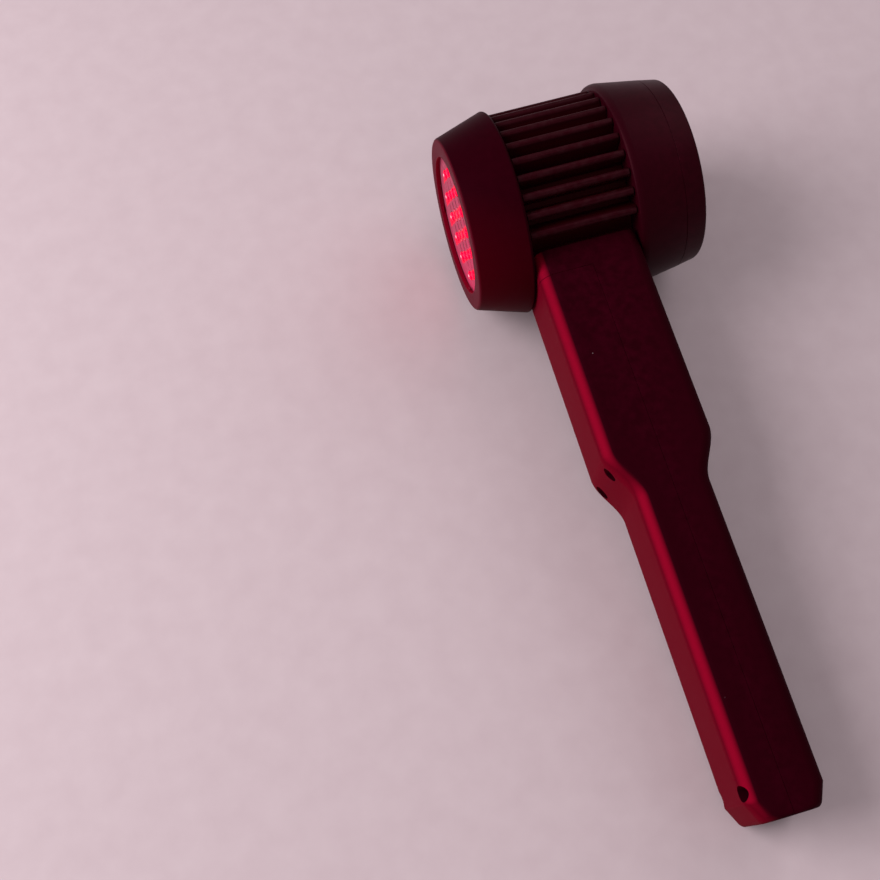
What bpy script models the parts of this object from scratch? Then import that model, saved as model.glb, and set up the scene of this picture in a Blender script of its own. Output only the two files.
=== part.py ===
"""Hand-held cold laser therapy device, lying on its side on a flat surface.

Metres, +Z up. The pieces are built in the device's own frame: the head's axis is X, with the laser
side at -X and the display side at +X, and the handle runs along -Y. An empty turns and lifts that
frame, so that the head's two rims and the end of the handle touch Z = 0.
"""

import math

import bmesh
import bpy
from mathutils import Matrix, Vector

# Clearances and working values
FIT_GAP = 0.0003
CUT_OVERRUN = 0.001
MERGE_DISTANCE = 0.00001
RING_STEPS = 64
BORE_STEPS = 32
SMALL_STEPS = 12
ROUND_STEPS = 3

# Heat sink, whose radii follow from the head's
HEAD_RADIUS = 0.0330
RIM_STAND_OUT = 0.0017
FIN_HEIGHT = 0.0073
SPIGOT_STEP = 0.0006
SPIGOT_WALL = 0.0029
PAD_STEP = 0.0003
FIN_LENGTH = 0.0340
FIN_THICKNESS = 0.0025
FIN_NOSE_SHARE = 0.3
FIN_PITCH_ANGLE = math.radians(11.1)
FIN_TURN_ANGLE = math.radians(1.55)
FINS_EACH_SIDE = 12
REAR_SPIGOT_LENGTH = 0.0032
WEB_THICKNESS = 0.0060
PAD_HALF_WIDTH = 0.0110

# Rims of the head
BEZEL_LENGTH = 0.0171
BEZEL_TAPER = 0.0050
BEZEL_REAR_ROUND = 0.0010
BEZEL_FRONT_ROUND = 0.0012
LIP_WIDTH = 0.0010
LIP_DEPTH = 0.0013
TAB_THICKNESS = 0.0005
TAB_WIDTH = 0.0020
TAB_REACH = 0.0008
TAB_ANGLES = [math.radians(turn) for turn in (45, 135, 225, 315)]
HOUSING_LENGTH = 0.0153
HOUSING_EDGE_LENGTH = 0.0024
HOUSING_EDGE_DROP = 0.0009
HOUSING_WALL = 0.0024
HOUSING_FLANGE = 0.0035
REAR_CONE_ANGLE = math.radians(9.2)
COVER_LENGTH = 0.0069
COVER_FACE = 0.0022
COVER_ROUND = 0.0010
COVER_SPIGOT_LENGTH = 0.0012
COVER_SPIGOT_WALL = 0.0016

# Diodes and what carries them
DIODE_PITCH_SHARE = 0.299
DIODE_GRID_TURN = math.radians(27)
DIODE_ROWS = 6
DIODE_BASE_GAP = 0.0011
DIODE_BASE_HEIGHT = 0.0012
DIODE_CAP_SHARE = 0.224
DIODE_STAND_OUT = 0.0007
DIODE_DOME = 0.0005
LASER_BARREL_SHARE = 0.299
LASER_LENS_SHARE = 0.209
LASER_SINK_DEPTH = 0.0034
PLATE_THICKNESS = 0.0012
PLATE_SKIRT_LENGTH = 0.0027
PLATE_SKIRT_WALL = 0.0011
SLOT_WEB = 0.0004
SLOT_WIDTH = 0.0007
CIRCUIT_BOARD_THICKNESS = 0.0016
SPREADER_THICKNESS = 0.0040
BOARD_SCREW_HEAD_RADIUS = 0.0018
BOARD_SCREW_HEAD_HEIGHT = 0.0014
BOARD_SCREW_RADIUS = 0.0011
BOARD_SCREW_BITE = 0.0030
BOARD_SCREW_COUNT = 2

# Display side
SWITCH_WIDTH = 0.0060
SWITCH_HEIGHT = 0.0035
SWITCH_PLUNGER_RADIUS = 0.0017
SWITCH_PLUNGER_HEIGHT = 0.0008
BUTTON_TRAVEL = 0.0006
BUTTON_RADIUS_SHARE = 0.156
BUTTON_FLANGE_WIDTH = 0.0011
BUTTON_FLANGE_THICKNESS = 0.0009
BUTTON_STAND_OUT = 0.0006
BUTTON_EDGE = 0.0005
BUTTON_SPACING_SHARE = 0.444
BUTTON_DROP_SHARE = 0.333
WINDOW_WIDTH_SHARE = 1.09
WINDOW_HEIGHT_SHARE = 0.496
WINDOW_RISE_SHARE = 0.333
WINDOW_THICKNESS = 0.0010
WINDOW_CORNER = 0.0015
WINDOW_SET_BACK = 0.0002
WINDOW_LEDGE = 0.0016
DISPLAY_MARGIN = 0.0009
COVER_SCREW_ANGLES = [math.radians(turn) for turn in (60, 180, 300)]
COVER_SCREW_HEAD_RADIUS = 0.0024
COVER_SCREW_HEAD_HEIGHT = 0.0016
COVER_SCREW_RADIUS = 0.0012
COVER_SCREW_SINK = 0.0026
COVER_SCREW_BITE = 0.0045
POST_RADIUS = 0.0031
POST_WALL_GAP = 0.0006
BUZZER_RADIUS = 0.0045
BUZZER_HEIGHT = 0.0040
BUZZER_DROP = 0.0100
BUZZER_SIDE = 0.0110

# Battery and the compartment round it
BATTERY_RADIUS = 0.0092
BATTERY_CAN_LENGTH = 0.0643
BATTERY_NUB_RADIUS = 0.0028
BATTERY_NUB_LENGTH = 0.0010
BATTERY_EDGE = 0.0008
CONTACT_THICKNESS = 0.0005
CONTACT_HALF_WIDTH = 0.0050
SPRING_LENGTH = 0.0034
SPRING_WIRE_RADIUS = 0.00035
SPRING_COIL_RADIUS = 0.0040
SPRING_TURNS = 3
SPRING_TURN_POINTS = 10
HOLDER_WALL = 0.0016
HOLDER_INSET = 0.0029
HOLDER_HALF_WIDTH = 0.0060

# Handle
HANDLE_HALF_THICKNESS = 0.0157
SHELL_WALL = 0.0018
COLLAR_LENGTH = 0.0085
SADDLE_THICKNESS = 0.0030
UPPER_LENGTH = 0.0587
STEP_LENGTH = 0.0159
STEP_STATIONS = 9
CHARGE_BAY_LENGTH = 0.0154
FRONT_FILLET = 0.0050
REAR_FILLET = 0.0040
FILLET_STEPS = 5
END_CORNER_LENGTH = 0.0061
END_CORNER_WIDTH = 0.0028
END_ROUND = 0.0015
CABLE_HOLE_RADIUS = 0.0040

# Screws of the handle
HANDLE_SCREW_HEAD_RADIUS = 0.0019
HANDLE_SCREW_HEAD_HEIGHT = 0.0018
HANDLE_SCREW_RADIUS = 0.0012
HANDLE_SCREW_BITE = 0.0070
SCREW_SEAT_DEPTH = 0.0040
UPPER_SCREW_PLACE_SHARE = 0.334
UPPER_SCREW_SPREAD = 0.0090
LOWER_SCREW_INSET = 0.0088
LOWER_SCREW_SPREAD = 0.0123
HANDLE_POST_RADIUS = 0.0033
SADDLE_SCREW_SPREAD_SHARE = 0.545
SADDLE_SCREW_HEAD_RADIUS = 0.0025
SADDLE_SCREW_HEAD_HEIGHT = 0.0020
SADDLE_SCREW_RADIUS = 0.0014

# Driver board, charging board and socket
DRIVER_WIDTH = 0.0220
DRIVER_INSET = 0.0060
DRIVER_SET_BACK = 0.0045
DRIVER_POST_RADIUS = 0.0030
DRIVER_POST_INSET = 0.0045
DRIVER_SCREW_HEAD_RADIUS = 0.0020
DRIVER_SCREW_HEAD_HEIGHT = 0.0014
DRIVER_SCREW_RADIUS = 0.0011
INDUCTOR_SIDE = 0.0080
INDUCTOR_HEIGHT = 0.0040
CHIP_SIDE = 0.0070
CHIP_HEIGHT = 0.0015
CHARGE_BOARD_LENGTH = 0.0140
CHARGE_BOARD_WIDTH = 0.0120
SOCKET_WIDTH = 0.0090
SOCKET_HEIGHT = 0.0086
SOCKET_LENGTH = 0.0110
SOCKET_BARREL_RADIUS = 0.0040
SOCKET_BORE_RADIUS = 0.0029
SOCKET_BORE_DEPTH = 0.0090
SOCKET_PIN_RADIUS = 0.0010
SOCKET_PIN_LENGTH = 0.0075

# Leads
LASER_LEAD_RADIUS = 0.0009
CONTROL_LEAD_RADIUS = 0.0010
BATTERY_LEAD_RADIUS = 0.0011
LEAD_SPREAD = 0.0016
LEAD_STEPS = 5
LEAD_BEND = 0.0080
LEAD_STRAIGHT = 0.0015
LEAD_HOLE_RADIUS = 0.0014

# Radii of the head, worked out from the sizes above
FIN_RADIUS = HEAD_RADIUS - RIM_STAND_OUT
CORE_RADIUS = FIN_RADIUS - FIN_HEIGHT
SPIGOT_RADIUS = CORE_RADIUS - SPIGOT_STEP
CORE_BORE_RADIUS = SPIGOT_RADIUS - SPIGOT_WALL
PAD_DISTANCE = CORE_RADIUS - PAD_STEP
BEZEL_FRONT_RADIUS = HEAD_RADIUS - BEZEL_TAPER
OPENING_RADIUS = SPIGOT_RADIUS - LIP_WIDTH
BEZEL_BORE_RADIUS = SPIGOT_RADIUS + FIT_GAP
DIODE_PITCH = OPENING_RADIUS * DIODE_PITCH_SHARE
DIODE_BASE_RADIUS = (DIODE_PITCH - DIODE_BASE_GAP) / 2
DIODE_CAP_RADIUS = DIODE_PITCH * DIODE_CAP_SHARE
LASER_BARREL_RADIUS = DIODE_PITCH * LASER_BARREL_SHARE
LASER_LENS_RADIUS = DIODE_PITCH * LASER_LENS_SHARE

# Places along the head's axis
FIN_END = FIN_LENGTH / 2
BEZEL_REAR = -(FIN_END + FIT_GAP)
BEZEL_FRONT = BEZEL_REAR - BEZEL_LENGTH
PLATE_FRONT = BEZEL_FRONT + LIP_DEPTH + FIT_GAP
PLATE_REAR = PLATE_FRONT + PLATE_THICKNESS
SKIRT_REAR = PLATE_REAR + PLATE_SKIRT_LENGTH
DIODE_BOARD_FRONT = SKIRT_REAR + FIT_GAP
DIODE_BOARD_REAR = DIODE_BOARD_FRONT + CIRCUIT_BOARD_THICKNESS
SPREADER_FRONT = DIODE_BOARD_REAR + FIT_GAP
SPREADER_REAR = SPREADER_FRONT + SPREADER_THICKNESS
SPIGOT_FRONT = SPREADER_REAR + FIT_GAP
WEB_REAR = SPIGOT_FRONT + WEB_THICKNESS
SPIGOT_REAR = FIN_END + REAR_SPIGOT_LENGTH
HOUSING_FRONT = FIN_END + FIT_GAP
HOUSING_REAR = HOUSING_FRONT + HOUSING_LENGTH
HOUSING_EDGE = HOUSING_FRONT + HOUSING_EDGE_LENGTH
COVER_FRONT = HOUSING_REAR + FIT_GAP
COVER_REAR = COVER_FRONT + COVER_LENGTH
COVER_INSIDE = COVER_REAR - COVER_FACE
DIODE_TIP = PLATE_FRONT - DIODE_STAND_OUT

# Radii of the rear cone, and what fits inside it
REAR_SLOPE = math.tan(REAR_CONE_ANGLE)
HOUSING_REAR_RADIUS = HEAD_RADIUS - (HOUSING_REAR - HOUSING_EDGE) * REAR_SLOPE
COVER_FRONT_RADIUS = HEAD_RADIUS - (COVER_FRONT - HOUSING_EDGE) * REAR_SLOPE
COVER_REAR_RADIUS = HEAD_RADIUS - (COVER_REAR - HOUSING_EDGE) * REAR_SLOPE
HOUSING_BORE_RADIUS = HOUSING_REAR_RADIUS - HOUSING_WALL
COVER_SPIGOT_RADIUS = HOUSING_BORE_RADIUS - FIT_GAP
COVER_INSIDE_RADIUS = COVER_SPIGOT_RADIUS - COVER_SPIGOT_WALL
COVER_SCREW_CIRCLE = COVER_INSIDE_RADIUS - POST_RADIUS - POST_WALL_GAP
CONTROL_BOARD_RADIUS = COVER_SPIGOT_RADIUS - FIT_GAP
FACE_RADIUS = COVER_REAR_RADIUS - COVER_ROUND
BUTTON_RADIUS = FACE_RADIUS * BUTTON_RADIUS_SHARE
BUTTON_SPACING = FACE_RADIUS * BUTTON_SPACING_SHARE
BUTTON_DROP = FACE_RADIUS * BUTTON_DROP_SHARE
WINDOW_WIDTH = FACE_RADIUS * WINDOW_WIDTH_SHARE
WINDOW_HEIGHT = FACE_RADIUS * WINDOW_HEIGHT_SHARE
WINDOW_RISE = FACE_RADIUS * WINDOW_RISE_SHARE

# Depths of the buttons, the switches under them and the window
BUTTON_FLANGE_REAR = COVER_INSIDE - FIT_GAP
BUTTON_FLANGE_FRONT = BUTTON_FLANGE_REAR - BUTTON_FLANGE_THICKNESS
PLUNGER_TOP = BUTTON_FLANGE_FRONT - BUTTON_TRAVEL - FIT_GAP
CONTROL_BOARD_REAR = PLUNGER_TOP - SWITCH_PLUNGER_HEIGHT - SWITCH_HEIGHT
CONTROL_BOARD_FRONT = CONTROL_BOARD_REAR - CIRCUIT_BOARD_THICKNESS
POST_REAR = CONTROL_BOARD_FRONT - FIT_GAP
WINDOW_REAR = COVER_REAR - WINDOW_SET_BACK
WINDOW_FRONT = WINDOW_REAR - WINDOW_THICKNESS
BUTTON_TOP = COVER_REAR + BUTTON_STAND_OUT

# Distances along the handle from the head's axis
SADDLE_TOP = PAD_DISTANCE + FIT_GAP
COLLAR_BOTTOM = SADDLE_TOP + COLLAR_LENGTH
STEP_START = COLLAR_BOTTOM + UPPER_LENGTH
STEP_END = STEP_START + STEP_LENGTH
HOLDER_TOP = STEP_END + HOLDER_INSET
CONTACT_TOP = HOLDER_TOP + HOLDER_WALL + FIT_GAP
BATTERY_TOP = CONTACT_TOP + CONTACT_THICKNESS + FIT_GAP
CAN_TOP = BATTERY_TOP + BATTERY_NUB_LENGTH
CAN_BOTTOM = CAN_TOP + BATTERY_CAN_LENGTH
SPRING_TOP = CAN_BOTTOM + FIT_GAP
SPRING_BOTTOM = SPRING_TOP + SPRING_LENGTH
HOLDER_BOTTOM = SPRING_BOTTOM + FIT_GAP + HOLDER_WALL
CAVITY_BOTTOM = HOLDER_BOTTOM + CHARGE_BAY_LENGTH
HANDLE_LENGTH = CAVITY_BOTTOM + SHELL_WALL

# Widths of the handle
UPPER_HALF_WIDTH = FIN_END
GRIP_HALF_WIDTH = BATTERY_RADIUS + FIT_GAP + SHELL_WALL
SADDLE_SCREW_SPREAD = UPPER_HALF_WIDTH * SADDLE_SCREW_SPREAD_SHARE
HALF_SEAM = FIT_GAP / 2

# Handle screws: distance along the handle and distance from its middle plane
UPPER_SCREW_PLACE = STEP_START + STEP_LENGTH * UPPER_SCREW_PLACE_SHARE
LOWER_SCREW_PLACE = HANDLE_LENGTH - LOWER_SCREW_INSET
HANDLE_SCREWS = [
    (UPPER_SCREW_PLACE, UPPER_SCREW_SPREAD),
    (UPPER_SCREW_PLACE, -UPPER_SCREW_SPREAD),
    (LOWER_SCREW_PLACE, LOWER_SCREW_SPREAD),
    (LOWER_SCREW_PLACE, -LOWER_SCREW_SPREAD),
]
SCREW_SEAT = -(HALF_SEAM + SCREW_SEAT_DEPTH)

# Driver board, on two posts of the rear shell
DRIVER_TOP = COLLAR_BOTTOM + DRIVER_INSET
DRIVER_BOTTOM = STEP_START
DRIVER_REAR = DRIVER_SET_BACK + CIRCUIT_BOARD_THICKNESS
DRIVER_SCREW_PLACES = [DRIVER_TOP + DRIVER_POST_INSET, DRIVER_BOTTOM - DRIVER_POST_INSET]

# Charging board and socket
SOCKET_TOP = CAVITY_BOTTOM - FIT_GAP - SOCKET_LENGTH
SOCKET_FACE = HANDLE_LENGTH - FIT_GAP
CHARGE_BOARD_FRONT = SOCKET_WIDTH / 2 + FIT_GAP
CHARGE_BOARD_BOTTOM = CAVITY_BOTTOM - FIT_GAP

# Pose at rest: the rims' circle and the rounded end of the handle touch one plane
REST_CONTACT = HANDLE_LENGTH - END_ROUND
REST_REACH = math.hypot(REST_CONTACT, HANDLE_HALF_THICKNESS)
REST_TILT = math.asin(HEAD_RADIUS / REST_REACH) - math.atan2(HANDLE_HALF_THICKNESS, REST_CONTACT)
END_EDGE = HANDLE_HALF_THICKNESS - END_ROUND
REACH_Y = HANDLE_LENGTH * math.cos(REST_TILT) + END_EDGE * math.sin(REST_TILT)
DEVICE_PLACE = (-(BEZEL_FRONT + BUTTON_TOP) / 2, (REACH_Y - HEAD_RADIUS) / 2, HEAD_RADIUS)

# Turns from a piece's own Z to the device's axes
ALONG_HEAD = Matrix.Rotation(math.radians(90), 4, "Y")
ALONG_HANDLE = Matrix.Rotation(math.radians(90), 4, "X")
LEVEL = Matrix.Rotation(-REST_TILT, 4, "X")

# Colours (linear) with roughness and metallic value
BLACK_PLASTIC = ((0.022, 0.009, 0.011), 0.48, 0.0)
BLACK_ANODISED = ((0.018, 0.009, 0.011), 0.42, 0.6)
WHITE_PLASTIC = ((0.78, 0.74, 0.74), 0.45, 0.0)
RED_LENS = ((0.85, 0.01, 0.03), 0.15, 0.0)
BRASS = ((0.72, 0.47, 0.17), 0.30, 1.0)
ALUMINIUM = ((0.68, 0.69, 0.70), 0.35, 1.0)
STEEL = ((0.50, 0.50, 0.50), 0.32, 1.0)
BOARD_GREEN = ((0.015, 0.10, 0.04), 0.45, 0.0)
SMOKED_ACRYLIC = ((0.02, 0.02, 0.025), 0.08, 0.0)
DISPLAY_GREY = ((0.20, 0.24, 0.20), 0.30, 0.0)
GREY_RUBBER = ((0.06, 0.06, 0.065), 0.60, 0.0)
CELL_WRAP = ((0.03, 0.16, 0.42), 0.35, 0.0)
RED_WIRE = ((0.50, 0.02, 0.02), 0.45, 0.0)
GREY_WIRE = ((0.30, 0.30, 0.32), 0.45, 0.0)


def clear_scene():
    for obj in list(bpy.data.objects):
        bpy.data.objects.remove(obj, do_unlink=True)


def make_collection(name):
    collection = bpy.data.collections.new(name)
    bpy.context.scene.collection.children.link(collection)
    return collection


clear_scene()
PARTS = make_collection("cold_laser_therapy_device")
CUTTERS = make_collection("cutters")


def material(name, look):
    """A Principled material from a colour, a roughness and a metallic value."""
    found = bpy.data.materials.get(name)
    if found:
        return found
    colour, roughness, metallic = look
    made = bpy.data.materials.new(name)
    made.use_nodes = True
    shader = made.node_tree.nodes["Principled BSDF"]
    shader.inputs["Base Color"].default_value = (*colour, 1.0)
    shader.inputs["Roughness"].default_value = roughness
    shader.inputs["Metallic"].default_value = metallic
    made.diffuse_color = (*colour, 1.0)
    return made


def new_object(name, bm, look=None):
    """A mesh object from a bmesh: a part if it has a look, otherwise a cutter."""
    bmesh.ops.recalc_face_normals(bm, faces=bm.faces)
    mesh = bpy.data.meshes.new(name)
    bm.to_mesh(mesh)
    bm.free()
    obj = bpy.data.objects.new(name, mesh)
    if look is None:
        CUTTERS.objects.link(obj)
        obj.hide_render = True
        obj.display_type = "WIRE"
    else:
        PARTS.objects.link(obj)
        mesh.materials.append(material(name + "_finish", look))
        mesh.shade_smooth()
        mesh.set_sharp_from_angle(angle=math.radians(30))
    return obj


def boolean(obj, other, operation):
    modifier = obj.modifiers.new(operation.lower() + "_" + other.name, "BOOLEAN")
    modifier.operation = operation
    modifier.solver = "EXACT"
    modifier.object = other


def cut(obj, *others):
    for other in others:
        boolean(obj, other, "DIFFERENCE")


def join(obj, *others):
    for other in others:
        boolean(obj, other, "UNION")


def turned(name, profile, look=None, steps=RING_STEPS, axis=ALONG_HEAD, place=(0, 0, 0), level=False):
    """A turned solid: profile is (distance along the axis, radius), outer side first, from its
    far end back to its near end. It turns round the line through place."""
    bm = bmesh.new()
    points = [bm.verts.new((radius, 0, along)) for along, radius in profile]
    loop = list(zip(points, points[1:]))
    if profile[0][1] or profile[-1][1]:
        loop.append((points[-1], points[0]))
    for start, end in loop:
        bm.edges.new((start, end))
    mesh = bpy.data.meshes.new(name)
    bm.to_mesh(mesh)
    bm.free()
    obj = bpy.data.objects.new(name, mesh)
    if look is None:
        CUTTERS.objects.link(obj)
        obj.hide_render = True
        obj.display_type = "WIRE"
    else:
        PARTS.objects.link(obj)
        mesh.materials.append(material(name + "_finish", look))
    screw = obj.modifiers.new("turn", "SCREW")
    screw.axis = "Z"
    screw.steps = steps
    screw.render_steps = steps
    screw.use_merge_vertices = True
    screw.merge_threshold = MERGE_DISTANCE
    screw.use_smooth_shade = True
    turn = LEVEL @ axis if level else axis
    obj.matrix_basis = Matrix.Translation(Vector(place)) @ turn
    return obj


def rod(name, near, far, radius, look=None, steps=SMALL_STEPS, axis=ALONG_HEAD, place=(0, 0, 0)):
    """A plain cylinder from near to far along the axis."""
    profile = [(far, 0), (far, radius), (near, radius), (near, 0)]
    return turned(name, profile, look, steps, axis, place)


def block(name, low, high, look=None, edge=0):
    """A box between two corners, with its edges rounded where edge is given."""
    bm = bmesh.new()
    bmesh.ops.create_cube(bm, size=1)
    size = [b - a for a, b in zip(low, high)]
    middle = [(a + b) / 2 for a, b in zip(low, high)]
    bmesh.ops.scale(bm, vec=size, verts=bm.verts)
    bmesh.ops.translate(bm, vec=middle, verts=bm.verts)
    obj = new_object(name, bm, look)
    if edge:
        bevel = obj.modifiers.new("edges", "BEVEL")
        bevel.width = edge
        bevel.segments = 2
    return obj


def prism(name, outline, near, far, look=None):
    """An outline of (y, z) points drawn out along X from near to far."""
    bm = bmesh.new()
    face = bm.faces.new([bm.verts.new((near, y, z)) for y, z in outline])
    grown = bmesh.ops.extrude_face_region(bm, geom=[face])
    moved = [item for item in grown["geom"] if isinstance(item, bmesh.types.BMVert)]
    bmesh.ops.translate(bm, vec=(far - near, 0, 0), verts=moved)
    return new_object(name, bm, look)


def arc(centre, radius, start, end, steps=ROUND_STEPS):
    """Points of (along, out) on an arc, both ends included."""
    points = []
    for step in range(steps + 1):
        angle = start + (end - start) * step / steps
        points.append((centre[0] + radius * math.cos(angle), centre[1] + radius * math.sin(angle)))
    return points


def front_bezel():
    """The conical rim on the laser side, with the lip and the tabs that hold the light plate."""
    quarter = math.pi / 2
    slope = math.atan2(HEAD_RADIUS - BEZEL_FRONT_RADIUS, BEZEL_LENGTH - BEZEL_REAR_ROUND)
    rear_round = (BEZEL_REAR - BEZEL_REAR_ROUND, HEAD_RADIUS - BEZEL_REAR_ROUND)
    front_round = (
        BEZEL_FRONT + BEZEL_FRONT_ROUND,
        BEZEL_FRONT_RADIUS + BEZEL_FRONT_ROUND * math.tan(slope) - BEZEL_FRONT_ROUND / math.cos(slope),
    )
    profile = arc(rear_round, BEZEL_REAR_ROUND, 0, quarter)
    profile += arc(front_round, BEZEL_FRONT_ROUND, quarter + slope, 2 * quarter)
    profile += [
        (BEZEL_FRONT, OPENING_RADIUS),
        (BEZEL_FRONT + LIP_DEPTH, OPENING_RADIUS),
        (BEZEL_FRONT + LIP_DEPTH, BEZEL_BORE_RADIUS),
        (BEZEL_REAR, BEZEL_BORE_RADIUS),
    ]
    bezel = turned("front_bezel", profile, BLACK_PLASTIC, level=True)
    tab_rear = BEZEL_FRONT + LIP_DEPTH - FIT_GAP
    for index, angle in enumerate(TAB_ANGLES):
        tab = block(
            f"bezel_tab_{index + 1}",
            (tab_rear - TAB_THICKNESS, OPENING_RADIUS - TAB_REACH, -TAB_WIDTH / 2),
            (tab_rear, OPENING_RADIUS + LIP_WIDTH, TAB_WIDTH / 2),
        )
        tab.matrix_basis = Matrix.Rotation(angle, 4, "X")
        join(bezel, tab)
    return bezel


def diode_places():
    """Places of the diodes as (row, column, y, z) on a grid turned about the head's axis."""
    places = []
    for row in range(DIODE_ROWS):
        across = (row - (DIODE_ROWS - 1) / 2) * DIODE_PITCH
        columns = 1 if row in (0, DIODE_ROWS - 1) else 2
        for column in range(-columns, columns):
            out = (column + 1 / 2) * DIODE_PITCH
            y = across * math.cos(DIODE_GRID_TURN) - out * math.sin(DIODE_GRID_TURN)
            z = across * math.sin(DIODE_GRID_TURN) + out * math.cos(DIODE_GRID_TURN)
            places.append((row, column, y, z))
    return places


def is_infrared(row, column):
    """The four places round the middle hold the infrared lasers."""
    return row in (DIODE_ROWS // 2 - 1, DIODE_ROWS // 2) and column in (-1, 0)


def laser_places():
    return [(y, z) for row, column, y, z in diode_places() if is_infrared(row, column)]


def red_places():
    return [(y, z) for row, column, y, z in diode_places() if not is_infrared(row, column)]


def hole_radius(row, column):
    return (LASER_BARREL_RADIUS if is_infrared(row, column) else DIODE_CAP_RADIUS) + FIT_GAP


def slot_places():
    """Slots as (y, z, length), each in the middle of the web between two holes of a column."""
    taken = {(row, column) for row, column, y, z in diode_places()}
    slots = []
    for row, column, y, z in diode_places():
        if (row + 1, column) in taken:
            near = hole_radius(row, column)
            far = hole_radius(row + 1, column)
            out = (DIODE_PITCH + near - far) / 2
            length = DIODE_PITCH - near - far - 2 * SLOT_WEB
            out_y = out * math.cos(DIODE_GRID_TURN)
            out_z = out * math.sin(DIODE_GRID_TURN)
            slots.append((y + out_y, z + out_z, length))
    return slots


def cylinder_cutters(name, places, radius, near, far):
    """One cutter made of cylinders along the head's axis at the given (y, z) places."""
    bm = bmesh.new()
    for y, z in places:
        place = Matrix.Translation(((near + far) / 2, y, z)) @ ALONG_HEAD
        bmesh.ops.create_cone(
            bm, cap_ends=True, segments=SMALL_STEPS, radius1=radius, radius2=radius, depth=far - near,
            matrix=place,
        )
    return new_object(name, bm)


def light_plate():
    """The white plate in the bezel, with a hole for each diode and slots between the rows."""
    skirt_inside = SPIGOT_RADIUS - PLATE_SKIRT_WALL
    profile = [
        (PLATE_REAR, 0),
        (PLATE_REAR, skirt_inside),
        (SKIRT_REAR, skirt_inside),
        (SKIRT_REAR, SPIGOT_RADIUS),
        (PLATE_FRONT, SPIGOT_RADIUS),
        (PLATE_FRONT, 0),
    ]
    plate = turned("light_plate", profile, WHITE_PLASTIC, level=True)
    near = PLATE_FRONT - CUT_OVERRUN
    far = PLATE_REAR + CUT_OVERRUN
    laser_hole = LASER_BARREL_RADIUS + FIT_GAP
    diode_hole = DIODE_CAP_RADIUS + FIT_GAP
    cut(plate, cylinder_cutters("plate_laser_holes", laser_places(), laser_hole, near, far))
    cut(plate, cylinder_cutters("plate_diode_holes", red_places(), diode_hole, near, far))
    bm = bmesh.new()
    turn = Matrix.Rotation(DIODE_GRID_TURN, 4, "X")
    for y, z, length in slot_places():
        size = Matrix.Diagonal((far - near, length, SLOT_WIDTH, 1))
        place = Matrix.Translation(((near + far) / 2, y, z))
        bmesh.ops.create_cube(bm, size=1, matrix=place @ turn @ size)
    cut(plate, new_object("plate_slots", bm))
    return plate


def board_screw_places():
    """Places in the gaps of the diode grid, near the board's edge."""
    out = SPIGOT_RADIUS - PLATE_SKIRT_WALL - BOARD_SCREW_HEAD_RADIUS - FIT_GAP
    places = []
    for index in range(BOARD_SCREW_COUNT):
        angle = DIODE_GRID_TURN + math.pi / 4 + index * 2 * math.pi / BOARD_SCREW_COUNT
        places.append((out * math.cos(angle), out * math.sin(angle)))
    return places


def diode_board():
    """The round circuit board behind the light plate."""
    board = rod(
        "diode_board", DIODE_BOARD_FRONT, DIODE_BOARD_REAR, SPIGOT_RADIUS, BOARD_GREEN, RING_STEPS
    )
    near = DIODE_BOARD_FRONT - CUT_OVERRUN
    far = DIODE_BOARD_REAR + CUT_OVERRUN
    laser_hole = LASER_BARREL_RADIUS + FIT_GAP
    cut(board, cylinder_cutters("board_laser_holes", laser_places(), laser_hole, near, far))
    screw_hole = BOARD_SCREW_RADIUS + FIT_GAP
    cut(board, cylinder_cutters("board_screw_holes", board_screw_places(), screw_hole, near, far))
    return board


def dome(tip, height, radius, steps=ROUND_STEPS):
    """Profile points of a domed end that closes at tip, from the rim to the axis."""
    points = []
    for step in range(1, steps + 1):
        angle = math.pi / 2 * step / steps
        points.append((tip + height - height * math.sin(angle), radius * math.cos(angle)))
    points[-1] = (tip, 0)
    return points


def red_diodes():
    """Red laser diodes: a wide base on the board and a lens cap that stands in the plate's hole."""
    base_rear = DIODE_BOARD_FRONT - FIT_GAP
    base_front = base_rear - DIODE_BASE_HEIGHT
    profile = [(base_rear, 0), (base_rear, DIODE_BASE_RADIUS), (base_front, DIODE_BASE_RADIUS)]
    profile += [(base_front, DIODE_CAP_RADIUS), (DIODE_TIP + DIODE_DOME, DIODE_CAP_RADIUS)]
    profile += dome(DIODE_TIP, DIODE_DOME, DIODE_CAP_RADIUS)
    for index, (y, z) in enumerate(red_places()):
        turned(f"red_diode_{index + 1:02d}", profile, RED_LENS, SMALL_STEPS, place=(0, y, z))


def infrared_lasers():
    """Infrared laser barrels, pressed into the heat spreader."""
    rear = SPREADER_FRONT + LASER_SINK_DEPTH
    profile = [(rear, 0), (rear, LASER_BARREL_RADIUS), (PLATE_FRONT, LASER_BARREL_RADIUS)]
    profile += [(PLATE_FRONT, LASER_LENS_RADIUS), (DIODE_TIP + DIODE_DOME, LASER_LENS_RADIUS)]
    profile += dome(DIODE_TIP, DIODE_DOME, LASER_LENS_RADIUS)
    for index, (y, z) in enumerate(laser_places()):
        turned(f"infrared_laser_{index + 1}", profile, BRASS, SMALL_STEPS, place=(0, y, z))


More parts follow.
